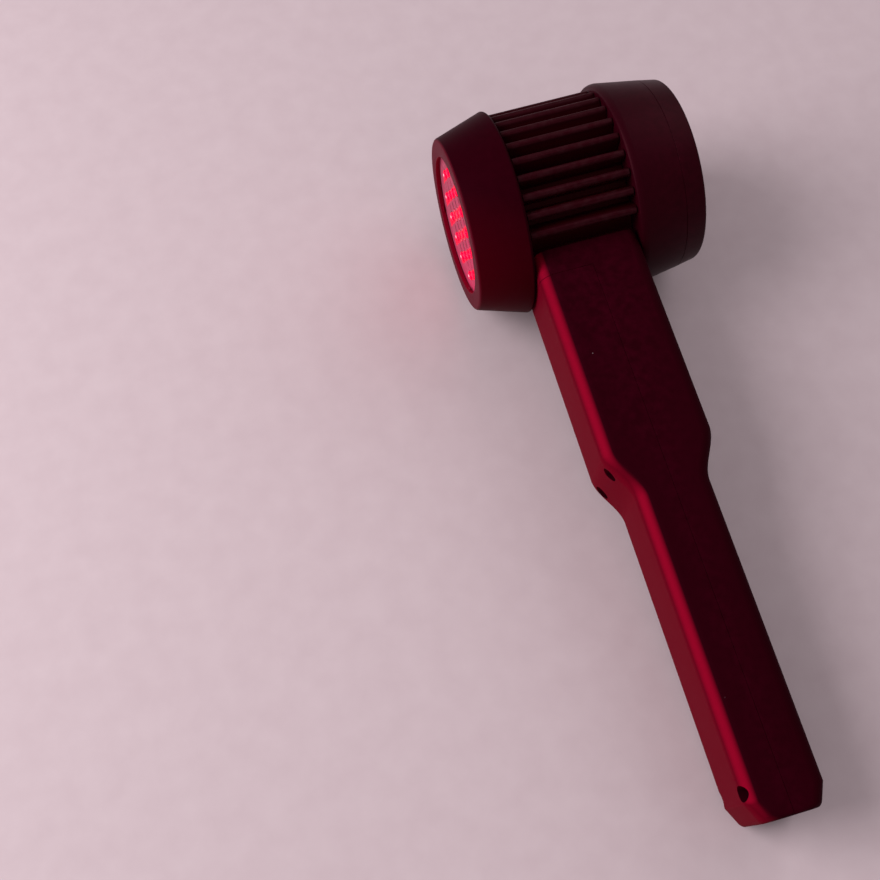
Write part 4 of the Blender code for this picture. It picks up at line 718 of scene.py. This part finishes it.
# Laser side
def make_bezel():
    front_round = BEZEL_FRONT_ROUND
    slope = math.atan2(HEAD_RADIUS - BEZEL_FRONT_RADIUS, BEZEL_REAR - BEZEL_FRONT - BEZEL_REAR_ROUND)
    rear = (BEZEL_REAR - BEZEL_REAR_ROUND, HEAD_RADIUS - BEZEL_REAR_ROUND)
    front_radius = BEZEL_FRONT_RADIUS + front_round * math.tan(slope) - front_round / math.cos(slope)
    front = (BEZEL_FRONT + front_round, front_radius)
    opening = (BEZEL_FRONT + OPENING_ROUND, OPENING_RADIUS + OPENING_ROUND)
    profile = arc(rear, BEZEL_REAR_ROUND, 0, QUARTER, 7)
    profile += arc(front, front_round, QUARTER + slope, 2 * QUARTER, 7)
    profile += arc(opening, OPENING_ROUND, 2 * QUARTER, 3 * QUARTER, 3)
    profile += [
        (BEZEL_FRONT + LIP_DEPTH, OPENING_RADIUS), (BEZEL_FRONT + LIP_DEPTH, SPIGOT_RADIUS + GAP),
        (BEZEL_REAR - 0.0002, SPIGOT_RADIUS + GAP), (BEZEL_REAR, SPIGOT_RADIUS + GAP + 0.0002),
    ]
    ring = lathe("bezel_ring", profile, 160)
    tabs = []
    for turn in TAB_TURNS:
        low = (BEZEL_FRONT + TAB_FRONT, OPENING_RADIUS - TAB_REACH, -TAB_HALF_WIDTH)
        high = (BEZEL_FRONT + TAB_REAR, OPENING_RADIUS + TAB_ROOT, TAB_HALF_WIDTH)
        tab = bevel(box("tab", low, high), 0.0002)
        tab.data.transform(Matrix.Rotation(math.radians(turn), 4, "X"))
        tabs.append(tab)
    finish_piece(merge(ring, tabs), "bezel", nodes=["front_bezel"])


def diode_places():
    """Row, column, y, z and whether it is an infrared diode, for the 20 diodes."""
    places = []
    for row in range(6):
        across = (row - 2.5) * DIODE_PITCH
        columns = 1 if row in (0, 5) else 2
        for column in range(-columns, columns):
            out = (column + 0.5) * DIODE_PITCH
            y = across * ROW_WAY[0] + out * COLUMN_WAY[0]
            z = across * ROW_WAY[1] + out * COLUMN_WAY[1]
            infrared = row in (2, 3) and column in (-1, 0)
            places.append((row, column, y, z, infrared))
    return places


def make_plate():
    inside = SPIGOT_RADIUS - SKIRT_WALL
    profile = [
        (PLATE_REAR, 0), (PLATE_REAR, inside), (SKIRT_REAR, inside), (SKIRT_REAR, SPIGOT_RADIUS),
        (PLATE_FRONT + PLATE_EDGE, SPIGOT_RADIUS), (PLATE_FRONT, SPIGOT_RADIUS - PLATE_EDGE),
        (PLATE_FRONT, 0),
    ]
    plate = lathe("diode_plate", profile, 96)
    front, rear = PLATE_FRONT - OVERCUT, PLATE_REAR + OVERCUT
    holes = {}
    for row, column, _, _, infrared in diode_places():
        holes[(row, column)] = (BARREL_RADIUS if infrared else CAP_RADIUS) + GAP
    cutters = []
    for row, column, y, z, _ in diode_places():
        radius = holes[(row, column)]
        cutters.append(cylinder(front, rear, radius, 28, place=(0, y, z)))
        if (row + 1, column) in holes:
            far = holes[(row + 1, column)]
            out = (DIODE_PITCH + radius - far) / 2
            half = (DIODE_PITCH - radius - far - SLOT_SPARE) / 2
            slot = box("slot", (front, -half, -SLOT_HALF_WIDTH), (rear, half, SLOT_HALF_WIDTH))
            middle = Vector((0, y + out * ROW_WAY[0], z + out * ROW_WAY[1]))
            slot.data.transform(Matrix.Translation(middle) @ Matrix.Rotation(DIODE_TURN, 4, "X"))
            cutters.append(slot)
    cut(plate, [merge(cutters[0], cutters[1:])])
    bevel(plate, 0.00012, 2, 50)
    finish_piece(plate, "plate", nodes=["light_plate"])


def make_diodes():
    flange = DIODE_BASE - DIODE_FLANGE
    edge = 0.0001
    cap = [
        (DIODE_BASE, 0), (DIODE_BASE, DIODE_FLANGE_RADIUS - 2 * edge),
        (DIODE_BASE - edge, DIODE_FLANGE_RADIUS), (flange + edge, DIODE_FLANGE_RADIUS),
        (flange, DIODE_FLANGE_RADIUS - 2 * edge), (flange, CAP_RADIUS),
        (DIODE_TIP + DIODE_DOME, CAP_RADIUS), *dome(DIODE_TIP, DIODE_DOME, CAP_RADIUS, 7),
        (DIODE_TIP, 0),
    ]
    barrel = [
        (BARREL_REAR, 0), (BARREL_REAR, BARREL_RADIUS - edge), (BARREL_REAR - edge, BARREL_RADIUS),
        (PLATE_FRONT - edge, BARREL_RADIUS), (PLATE_FRONT - 2 * edge, BARREL_RADIUS - 2 * edge),
        (PLATE_FRONT - 2 * edge, LENS_RADIUS + 0.00005), (PLATE_FRONT, LENS_RADIUS + 0.00002),
        (PLATE_FRONT, 0),
    ]
    window = [
        (PLATE_FRONT + 2 * edge, 0), (PLATE_FRONT + 2 * edge, LENS_RADIUS),
        (DIODE_TIP + LENS_DOME, LENS_RADIUS), *dome(DIODE_TIP, LENS_DOME, LENS_RADIUS, 6),
        (DIODE_TIP, 0),
    ]
    red = 0
    lasers = 0
    for row, column, y, z, infrared in diode_places():
        if infrared:
            lasers += 1
            body = lathe(f"laser_barrel_{lasers}", barrel, 28, place=(0, y, z))
            finish_piece(body, "brass", nodes=[f"infrared_laser_{lasers}"])
            lens = lathe(f"laser_lens_{lasers}", window, 28)
            lens.location = (0, y, z)
            finish_piece(lens, "deep_red")
        else:
            red += 1
            lens = lathe(f"diode_lens_{red:02d}", cap, 28)
            lens.location = (0, y, z)
            # The outer lens of each row gets a painted white glint.
            outer = column == (-1 if row in (0, 5) else -2)
            finish_piece(lens, "painted_glint_red" if outer else "red", nodes=[f"red_diode_{red:02d}"])


# Heat sink
def fin_side():
    """Half of a fin's outline, as (distance from the head's axis, half width) points."""
    half = FIN_THICKNESS / 2
    corner = half - FIN_NOSE_FLAT
    root = (CORE_RADIUS - 0.0001 + FIN_ROOT_ROUND, half + FIN_ROOT_ROUND)
    nose = (FIN_RADIUS - corner, half - corner)
    return arc(root, FIN_ROOT_ROUND, 2 * QUARTER, 3 * QUARTER, 3) + arc(nose, corner, QUARTER, 0, 7)


def make_heat_sink():
    shoulder = math.sqrt(CORE_RADIUS ** 2 - PAD_HALF_WIDTH ** 2)
    points = [(-PAD_DISTANCE, -PAD_HALF_WIDTH), (-shoulder, -PAD_HALF_WIDTH)]
    side = fin_side()
    for fin in range(-FINS_EACH_SIDE, FINS_EACH_SIDE + 1):
        angle = fin * FIN_PITCH + FIN_TURN
        along = Vector((math.cos(angle), math.sin(angle)))
        aside = Vector((-math.sin(angle), math.cos(angle)))
        points += [tuple(along * out - aside * width) for out, width in side]
        points += [tuple(along * out + aside * width) for out, width in reversed(side)]
        if fin < FINS_EACH_SIDE:
            middle = angle + FIN_PITCH / 2
            points.append((CORE_RADIUS * math.cos(middle), CORE_RADIUS * math.sin(middle)))
    points += [(-shoulder, PAD_HALF_WIDTH), (-PAD_DISTANCE, PAD_HALF_WIDTH)]
    edge = FIN_END_CHAMFER
    rings = []
    for x, shrink in ((-FIN_END, edge), (-FIN_END + edge, 0.0), (FIN_END - edge, 0.0), (FIN_END, edge)):
        ring = []
        for y, z in points:
            out = math.hypot(y, z)
            share = 1 - shrink / out if out > CORE_RADIUS + 0.0015 else 1.0
            ring.append((x, y * share, z * share))
        rings.append(ring)
    sink = loft("finned_heat_sink", rings)
    spigot = cylinder(SPIGOT_FRONT, SPIGOT_REAR, SPIGOT_RADIUS, 96)
    finish_piece(merge(sink, [spigot]), "sink", nodes=["heat_sink"], smooth=35)


# Display side
def rear_radius(along):
    return HEAD_RADIUS - (along - HOUSING_EDGE) * REAR_SLOPE


def cover_screw_places():
    turns = [math.radians(turn) for turn in (60, 180, 300)]
    return [(COVER_SCREW_CIRCLE * math.cos(turn), COVER_SCREW_CIRCLE * math.sin(turn)) for turn in turns]


def button_places():
    return [(-BUTTON_DROP, side * BUTTON_SPACING) for side in (-1, 0, 1)]


def make_housing():
    bore = rear_radius(HOUSING_REAR) - HOUSING_WALL
    flange = HOUSING_FRONT + HOUSING_FLANGE
    end = COVER_FRONT - SEAM
    profile = [
        (end, rear_radius(end) - SEAM_EDGE), (end - SEAM_EDGE, rear_radius(end - SEAM_EDGE)),
        (HOUSING_EDGE, HEAD_RADIUS),
    ]
    for step in range(1, 9):
        angle = QUARTER * step / 8
        along = HOUSING_EDGE - (HOUSING_EDGE - HOUSING_FRONT) * math.sin(angle)
        profile.append((along, HEAD_RADIUS - HOUSING_ROUND * (1 - math.cos(angle))))
    profile += [
        (HOUSING_FRONT, SPIGOT_RADIUS + GAP), (flange, SPIGOT_RADIUS + GAP), (flange, bore),
        (end, bore),
    ]
    ring = lathe("display_housing_ring", profile, 160)
    posts = []
    for place in cover_screw_places():
        posts.append(cylinder(flange - GAP, POST_REAR, POST_RADIUS, 24, place=(0, *place)))
    finish_piece(merge(ring, posts), "rim", nodes=["rear_housing"])


def rounded_outline(x, height, width, corner):
    points = []
    for index, (up, out) in enumerate(((1, 1), (-1, 1), (-1, -1), (1, -1))):
        centre = (WINDOW_RISE + up * (height / 2 - corner), out * (width / 2 - corner))
        points += arc(centre, corner, index * QUARTER, (index + 1) * QUARTER, 6)
    return [(x, y, z) for y, z in points]


def rounded_plate(name, near, far, spare, corner, edge=0.0):
    """A plate with round corners, wider than the window by spare. edge chamfers its far rim."""
    height, width = WINDOW_HEIGHT + spare, WINDOW_WIDTH + spare
    rings = [rounded_outline(x, height, width, corner) for x in (near, far - edge)]
    if edge:
        rings.append(rounded_outline(far, height - 2 * edge, width - 2 * edge, corner))
    return loft(name, rings)


def make_cover():
    spigot = rear_radius(HOUSING_REAR) - COVER_SPIGOT_INSET
    inside = spigot - COVER_SPIGOT_WALL
    corner = (COVER_REAR - COVER_ROUND, rear_radius(COVER_REAR) - COVER_ROUND)
    profile = [(COVER_REAR, 0)]
    profile += arc(corner, COVER_ROUND, 0, QUARTER - REAR_CONE, 10)
    profile += [
        (COVER_FRONT + SEAM_EDGE, rear_radius(COVER_FRONT + SEAM_EDGE)),
        (COVER_FRONT, rear_radius(COVER_FRONT) - SEAM_EDGE), (COVER_FRONT, spigot),
        (COVER_FRONT - COVER_SPIGOT_LENGTH, spigot), (COVER_FRONT - COVER_SPIGOT_LENGTH, inside),
        (COVER_INSIDE, inside), (COVER_INSIDE, 0),
    ]
    cover = lathe("display_cover", profile, 160)
    above = COVER_REAR + OVERCUT
    below = COVER_INSIDE - OVERCUT
    seat = COVER_SCREW_SEAT - GAP
    cutters = []
    for y, z in cover_screw_places():
        rim = [
            (above, 0), (above, COVER_SCREW_HOLE + 0.0014), (COVER_REAR, COVER_SCREW_HOLE + 0.0004),
            (COVER_REAR - 0.0004, COVER_SCREW_HOLE), (seat, COVER_SCREW_HOLE), (seat, 0),
        ]
        cutters.append(lathe("sink", rim, 32, place=(0, y, z)))
    for y, z in button_places():
        hole = BUTTON_RADIUS + GAP
        rim = [
            (above, 0), (above, hole + 0.0014), (COVER_REAR - 0.0002, hole + 0.0001),
            (COVER_REAR - 0.0006, hole), (below, hole), (below, 0),
        ]
        cutters.append(lathe("button_hole", rim, 48, place=(0, y, z)))
    cutters.append(rounded_plate("pocket", WINDOW_FRONT - GAP, above, 2 * GAP, WINDOW_CORNER + 0.0002))
    cutters.append(rounded_plate("opening", below, WINDOW_REAR, -2 * WINDOW_LEDGE, WINDOW_CORNER))
    cut(cover, cutters)
    finish_piece(cover, "rim", nodes=["rear_cover"])


def cross_screw(kind, index, seat, top, head_radius, tip, place, turn):
    """A pan-head screw with a cross recess. Its head looks from seat to top."""
    sign = 1 if top > seat else -1
    edge = 0.0004 * sign
    profile = [
        (top, 0), (top, head_radius * 0.55), (top - edge * 0.35, head_radius * 0.86),
        (top - edge, head_radius), (seat, head_radius), (seat, SCREW_SHAFT_RADIUS),
        (tip, SCREW_SHAFT_RADIUS), (tip, 0),
    ]
    screw = lathe(f"{kind}_cross_screw_{index + 1}", profile, 32)
    low, high = sorted((top + 0.0002 * sign, top - 0.0009 * sign))
    reach = head_radius * 0.58
    half = head_radius * 0.13
    arms = []
    for half_y, half_z in ((reach, half), (half, reach)):
        arms.append(box("arm", (low, -half_y, -half_z), (high, half_y, half_z)))
    cut(screw, arms)
    screw.data.transform(Matrix.Translation(Vector(place)) @ Matrix.Rotation(turn + index, 4, "X"))
    finish_piece(screw, "steel", nodes=[f"{kind}_screw_{index + 1}"], smooth=35)


def make_screws():
    seat = COVER_SCREW_SEAT
    for index, (y, z) in enumerate(cover_screw_places()):
        cross_screw("cover", index, seat, seat + 0.0016, 0.0024, COVER_SCREW_TIP, (0, y, z), 0.4)
    seat = SCREW_SEAT - GAP
    for index, (distance, side) in enumerate(HANDLE_SCREWS):
        cross_screw("handle", index, seat, seat - 0.0018, 0.0019, 0.0070, (0, -distance, side), 0.7)


def arc_ribbon(name, centre, radius, width, start, end, near, far, steps=20):
    """A raised curved bar on the face of a button."""
    inner, outer = [arc(centre, radius + side * width / 2, start, end, steps) for side in (-1, 1)]
    return loft(name, [[(near, *a), (far, *a), (far, *b), (near, *b)] for a, b in zip(inner, outer)])


def make_marks():
    """Plain signs on the buttons: an on and off sign, three dots and a clock."""
    near, far = BUTTON_TOP - BUTTON_ROUND, BUTTON_TOP - MARK_RISE
    mode, power, clock = button_places()
    y, z = power
    signs = {"power": [
        arc_ribbon("ring", power, 0.0017, 0.00045, math.radians(38), math.radians(322), near, far),
        box("bar", (near, y + 0.0006, z - 0.00022), (far, y + 0.0023, z + 0.00022)),
    ]}
    y, z = mode
    dots = [(0, y, z + out) for out in (-0.0016, 0.0, 0.0016)]
    signs["mode"] = [cylinder(near, far, 0.00048, 20, place=dot) for dot in dots]
    y, z = clock
    signs["time"] = [
        arc_ribbon("dial", clock, 0.0019, 0.0004, 0.0, FULL_TURN, near, far, 32),
        box("hand", (near, y - 0.0002, z - 0.0002), (far, y + 0.0013, z + 0.0002)),
        box("short_hand", (near, y - 0.0002, z - 0.0002), (far, y + 0.0002, z + 0.0010)),
    ]
    for key, parts in signs.items():
        mark = merge(parts[0], parts[1:])
        mark.name = key + "_button_mark"
        finish_piece(mark, "mark", body=key + "_button_body")


def make_buttons():
    flange = BUTTON_RADIUS + FLANGE_WIDTH
    profile = [
        (BUTTON_TOP - 0.00025, 0), (BUTTON_TOP - 0.00018, BUTTON_RADIUS * 0.55),
        *arc((BUTTON_TOP - BUTTON_ROUND, BUTTON_RADIUS - BUTTON_ROUND), BUTTON_ROUND, 0, QUARTER, 5),
        (FLANGE_REAR, BUTTON_RADIUS), (FLANGE_REAR, flange), (FLANGE_FRONT, flange), (FLANGE_FRONT, 0),
    ]
    for key, (y, z) in zip(("mode", "power", "time"), button_places()):
        cap = lathe(key + "_key", profile, 64, place=(0, y, z))
        finish_piece(cap, "button", body=key + "_button_body", nodes=[key + "_button"])
    make_marks()


def make_display():
    window = rounded_plate("display_glass", WINDOW_FRONT, WINDOW_REAR, 0.0, WINDOW_CORNER, 0.00015)
    finish_piece(window, "smoked", nodes=["display_window"])
    panel = rounded_plate("display_panel", PANEL_FRONT, PANEL_REAR, -2 * PANEL_INSET, 0.0008, 0.0001)
    finish_piece(panel, "panel", nodes=["display_module"])
    top, upper, side = DIGIT_HALF_HEIGHT, DIGIT_HALF_HEIGHT / 2, DIGIT_HALF_WIDTH
    # The seven bars by their usual letters: height, side and whether they lie level
    bars = {
        "a": (top, 0.0, True), "g": (0.0, 0.0, True), "d": (-top, 0.0, True),
        "f": (upper, side, False), "b": (upper, -side, False),
        "e": (-upper, side, False), "c": (-upper, -side, False),
    }
    shown = {"0": "adfbec", "1": "bc", "2": "agdbe"}
    front, rear = PANEL_REAR, PANEL_REAR + BAR_THICKNESS
    parts = []
    for digit, place in (("1", 0.0078), ("2", 0.0026), ("0", -0.0040), ("0", -0.0092)):
        for bar in shown[digit]:
            up, out, level = bars[bar]
            half_up, half_out = (BAR_HALF_WIDTH, 0.0014) if level else (0.0013, BAR_HALF_WIDTH)
            y, z = WINDOW_RISE + up, place + out
            low, high = (front, y - half_up, z - half_out), (rear, y + half_up, z + half_out)
            parts.append(box("bar", low, high))
    for up in (-0.0014, 0.0014):
        parts.append(cylinder(front, rear, 0.0004, 16, place=(0, WINDOW_RISE + up, -0.0007)))
    digits = merge(parts[0], parts[1:])
    digits.name = "display_digits"
    finish_piece(digits, "digit")


# Handle
def half_width(distance):
    share = min(max((distance - STEP_START) / (STEP_END - STEP_START), 0), 1)
    width = UPPER_HALF + (GRIP_HALF - UPPER_HALF) * (share * share * (3 - 2 * share))
    if distance > END_CORNER_START:
        width -= END_CORNER_WIDTH * (distance - END_CORNER_START) / END_CORNER_LENGTH
    return width


def section(distance, inset=0.0, drop=0.0, side_drop=0.0, steps=CORNER_STEPS):
    """Points of a rounded rectangle across the handle, from the rear top corner onwards."""
    wide = half_width(distance) - inset - side_drop
    thick = HALF_THICK - inset - drop
    front = FRONT_FILLET - inset
    rear = REAR_FILLET - inset
    corners = ((1, 1, rear), (-1, 1, front), (-1, -1, front), (1, -1, rear))
    points = []
    for index, (side, up, radius) in enumerate(corners):
        centre = (side * (wide - radius), up * (thick - radius))
        points += arc(centre, radius, index * QUARTER, (index + 1) * QUARTER, steps)
    return [(x, -distance, z) for x, z in points]


def half_section(distance, side, **drops):
    """The front (side -1) or rear (side 1) half of a section, with a small chamfer at the seam."""
    points = section(distance, **drops)
    seam = side * SEAM / 2
    count = CORNER_STEPS + 1
    outer = points[count:3 * count] if side < 0 else points[3 * count:] + points[:count]
    heights = sorted(z for x, y, z in points)
    first, last = (heights[-1], heights[0]) if side < 0 else (heights[0], heights[-1])
    start, end = [(seam + side * SEAM_EDGE, -distance, z) for z in (first, last)]
    lip = [(seam, -distance, z - math.copysign(SEAM_EDGE, z)) for z in (last, first)]
    return [start, *outer, end, *lip]


def stations(count=28):
    return [STEP_START + (STEP_END - STEP_START) * index / (count - 1) for index in range(count)]


def outer_sections(side, top):
    """Half sections from top down to the rounded end."""
    sections = [half_section(top, side)]
    if side < 0:
        edge = half_section(top, side, drop=SEAM_EDGE, side_drop=SEAM_EDGE)
        sections = [edge, half_section(top + SEAM_EDGE, side)]
    ends = [END_CORNER_START + step for step in (-END_CORNER_ROUND, 0, END_CORNER_ROUND)]
    sections += [half_section(distance, side) for distance in stations() + ends]
    for step in range(7):
        angle = QUARTER * step / 6
        drop = END_ROUND * (1 - math.cos(angle))
        distance = HANDLE_END - END_ROUND * (1 - math.sin(angle))
        sections.append(half_section(distance, side, drop=drop, side_drop=0.35 * drop))
    return sections


def cylinders_across(places, near, far, radius, steps=24):
    return [cylinder(near, far, radius, steps, place=(0, -distance, side)) for distance, side in places]


def hollow_round_posts():
    """The hollow of the grip less its screw posts, which so end at the shell's own wall."""
    top = COLLAR_BOTTOM - 0.002
    places = [top] + stations(14) + [END_CORNER_START, CAVITY_BOTTOM]
    cavity = loft("hollow", [section(distance, inset=WALL, steps=6) for distance in places])
    posts = cylinders_across(HANDLE_SCREWS, -UPPER_HALF, UPPER_HALF, HANDLE_POST_RADIUS)
    posts += cylinders_across(DRIVER_POSTS, DRIVER_POST_START, UPPER_HALF, DRIVER_POST_RADIUS)
    return cut(cavity, posts)


def socket_cutter():
    top, end = CAVITY_BOTTOM - OVERCUT, HANDLE_END + OVERCUT
    return cylinder(top, end, SOCKET_HOLE_RADIUS, 48, ALONG_HANDLE)


def make_front_shell():
    shell = loft("front_grip_shell", outer_sections(-1, COLLAR_BOTTOM + SEAM))
    cut(shell, [hollow_round_posts()])
    sinks = [socket_cutter()]
    for place in HANDLE_SCREWS:
        sinks += cylinders_across([place], -UPPER_HALF - OVERCUT, SCREW_SEAT, 0.0022, 40)
        sinks += cylinders_across([place], SCREW_SEAT - OVERCUT, OVERCUT, HANDLE_PILOT_RADIUS)
    cut(shell, sinks)
    finish_piece(shell, "shell", nodes=["front_handle_shell"], smooth=32)


def make_rear_shell():
    shell = loft("rear_grip_shell", outer_sections(1, COLLAR_BOTTOM))
    cut(shell, [hollow_round_posts()])
    pilots = [socket_cutter()]
    pilots += cylinders_across(HANDLE_SCREWS, -OVERCUT, 0.0073, HANDLE_PILOT_RADIUS)
    pilots += cylinders_across(DRIVER_POSTS, 0.0055, UPPER_HALF - WALL, 0.0014)
    cut(shell, pilots)
    edge = SADDLE_EDGE
    top = section(SADDLE_TOP, drop=edge, side_drop=edge)
    collar = loft("collar", [top, section(SADDLE_TOP + edge), section(COLLAR_BOTTOM)])
    below = (SADDLE_TOP + SADDLE_THICKNESS, COLLAR_BOTTOM + OVERCUT)
    inner = loft("collar_hollow", [section(distance, inset=WALL) for distance in below])
    near, far = SADDLE_TOP - OVERCUT, SADDLE_TOP + SADDLE_THICKNESS + OVERCUT
    holes = [cylinder(near, far, LEAD_HOLE_RADIUS, 40, ALONG_HANDLE)]
    for side in (-SADDLE_SCREW_SIDE, SADDLE_SCREW_SIDE):
        holes.append(cylinder(near, far, 0.0017, 24, ALONG_HANDLE, (side, 0, 0)))
    cut(collar, [inner] + holes)
    finish_piece(merge(shell, [collar]), "shell", nodes=["rear_handle_shell"], smooth=32)


def make_socket():
    face = HANDLE_END - GAP
    floor = face - SOCKET_DEPTH
    top = 0.1935
    barrel_profile = [
        (top, 0.0002), (floor, 0.0002), (floor, SOCKET_BORE), (face - 0.0002, SOCKET_BORE),
        (face, SOCKET_BORE + 0.0002), *arc((face - 0.0003, 0.0037), 0.0003, 0, QUARTER, 3),
        (top, 0.0040),
    ]
    barrel = lathe("socket_barrel", barrel_profile, 48, ALONG_HANDLE)
    case = box("case", (-0.0045, -(CAVITY_BOTTOM - GAP), -0.0043), (0.0045, -SOCKET_TOP, 0.0043))
    bevel(case, 0.0003)
    cut(case, [cylinder(floor, face + OVERCUT, 0.0030, 40, ALONG_HANDLE)])
    finish_piece(merge(barrel, [case]), "socket", nodes=["charge_socket"])
    tip = face - 0.0015
    pin_profile = [
        (tip, 0), (tip, 0.0005), (tip - 0.0001, 0.0008), (tip - 0.0004, 0.0010), (floor, 0.0010),
        (floor, 0),
    ]
    pin = lathe("socket_pin", pin_profile, 24, ALONG_HANDLE)
    finish_piece(pin, "steel")


# Materials of the CAD nodes that stay
def dress_nodes():
    kinds = {
        "steel": [
            "battery_contact", "battery_spring", "board_screw_1", "board_screw_2",
            "saddle_screw_1", "saddle_screw_2", "driver_screw_1", "driver_screw_2",
        ],
        "board": ["diode_board", "control_board", "driver_board", "charge_board"],
        "aluminium": ["heat_spreader"],
        "wrap": ["battery_cell"],
        "socket": ["battery_holder"],
        "red_wire": ["laser_leads", "battery_leads"],
        "grey_wire": ["control_leads"],
    }
    for look, names in kinds.items():
        for name in names:
            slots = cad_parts[name].data.materials
            slots.clear()
            slots.append(LOOKS[look][0])


# Room
def make_stage():
    floor = box("floor", (-3, -3, -0.02), (3, 3, 0))
    look = Shader("pale_floor", (0.60, 0.46, 0.50), 0.75)
    grain = look.noise(120, 4.0)
    look.colour(look.blend(grain, (0.59, 0.45, 0.49), (0.62, 0.48, 0.52)))
    look.bump(grain, 0.05, 0.0002)
    floor.data.materials.append(look.material)


def area_light(name, place, target, size, power):
    lamp = bpy.data.lights.new(name, "AREA")
    lamp.shape = "SQUARE"
    lamp.size = size
    lamp.energy = power
    obj = link(name, lamp)
    obj.location = place
    aim = Vector(target) - Vector(place)
    obj.rotation_euler = aim.to_track_quat("-Z", "Y").to_euler()


def make_lights():
    world = bpy.data.worlds.new("soft_world")
    world.use_nodes = True
    bpy.context.scene.world = world
    background = world.node_tree.nodes["Background"]
    background.inputs["Color"].default_value = (0.95, 0.93, 0.94, 1.0)
    background.inputs["Strength"].default_value = 0.38
    area_light("key_light", (-0.80, 0.20, 0.72), (0, 0, 0.02), size=0.65, power=7.6)
    area_light("fill_light", (0.75, 0.45, 0.9), (0, 0, 0.02), size=0.9, power=3.0)
    area_light("side_light", (-0.85, 0.10, 0.24), (0, -0.03, 0.03), size=0.4, power=2.5)


def make_camera():
    """The camera fitted to the photograph, given in the device's own frame."""
    right = Vector((0.9608819, -0.27695572, -0.00122508))
    up = Vector((0.26177242, 0.90674195, 0.33059680))
    ahead = Vector((0.09044984, 0.31798517, -0.94377130))
    turn = Matrix((right, up, -ahead)).transposed().to_4x4()
    turn.translation = Vector((-0.09348857, -0.18915739, 0.35589464))
    focal_pixels = 1239.1812
    picture_width = 880
    lens = bpy.data.cameras.new("photo_camera")
    lens.sensor_width = 36
    lens.lens = focal_pixels / picture_width * lens.sensor_width
    lens.clip_start = 0.01
    camera = link("photo_camera", lens)
    camera.matrix_world = DEVICE @ turn
    bpy.context.scene.camera = camera


make_camera()
make_bezel()
make_plate()
make_diodes()
make_heat_sink()
make_housing()
make_cover()
make_screws()
make_buttons()
make_display()
make_front_shell()
make_rear_shell()
make_socket()
dress_nodes()
make_stage()
make_lights()
bpy.context.scene.view_settings.view_transform = "Standard"
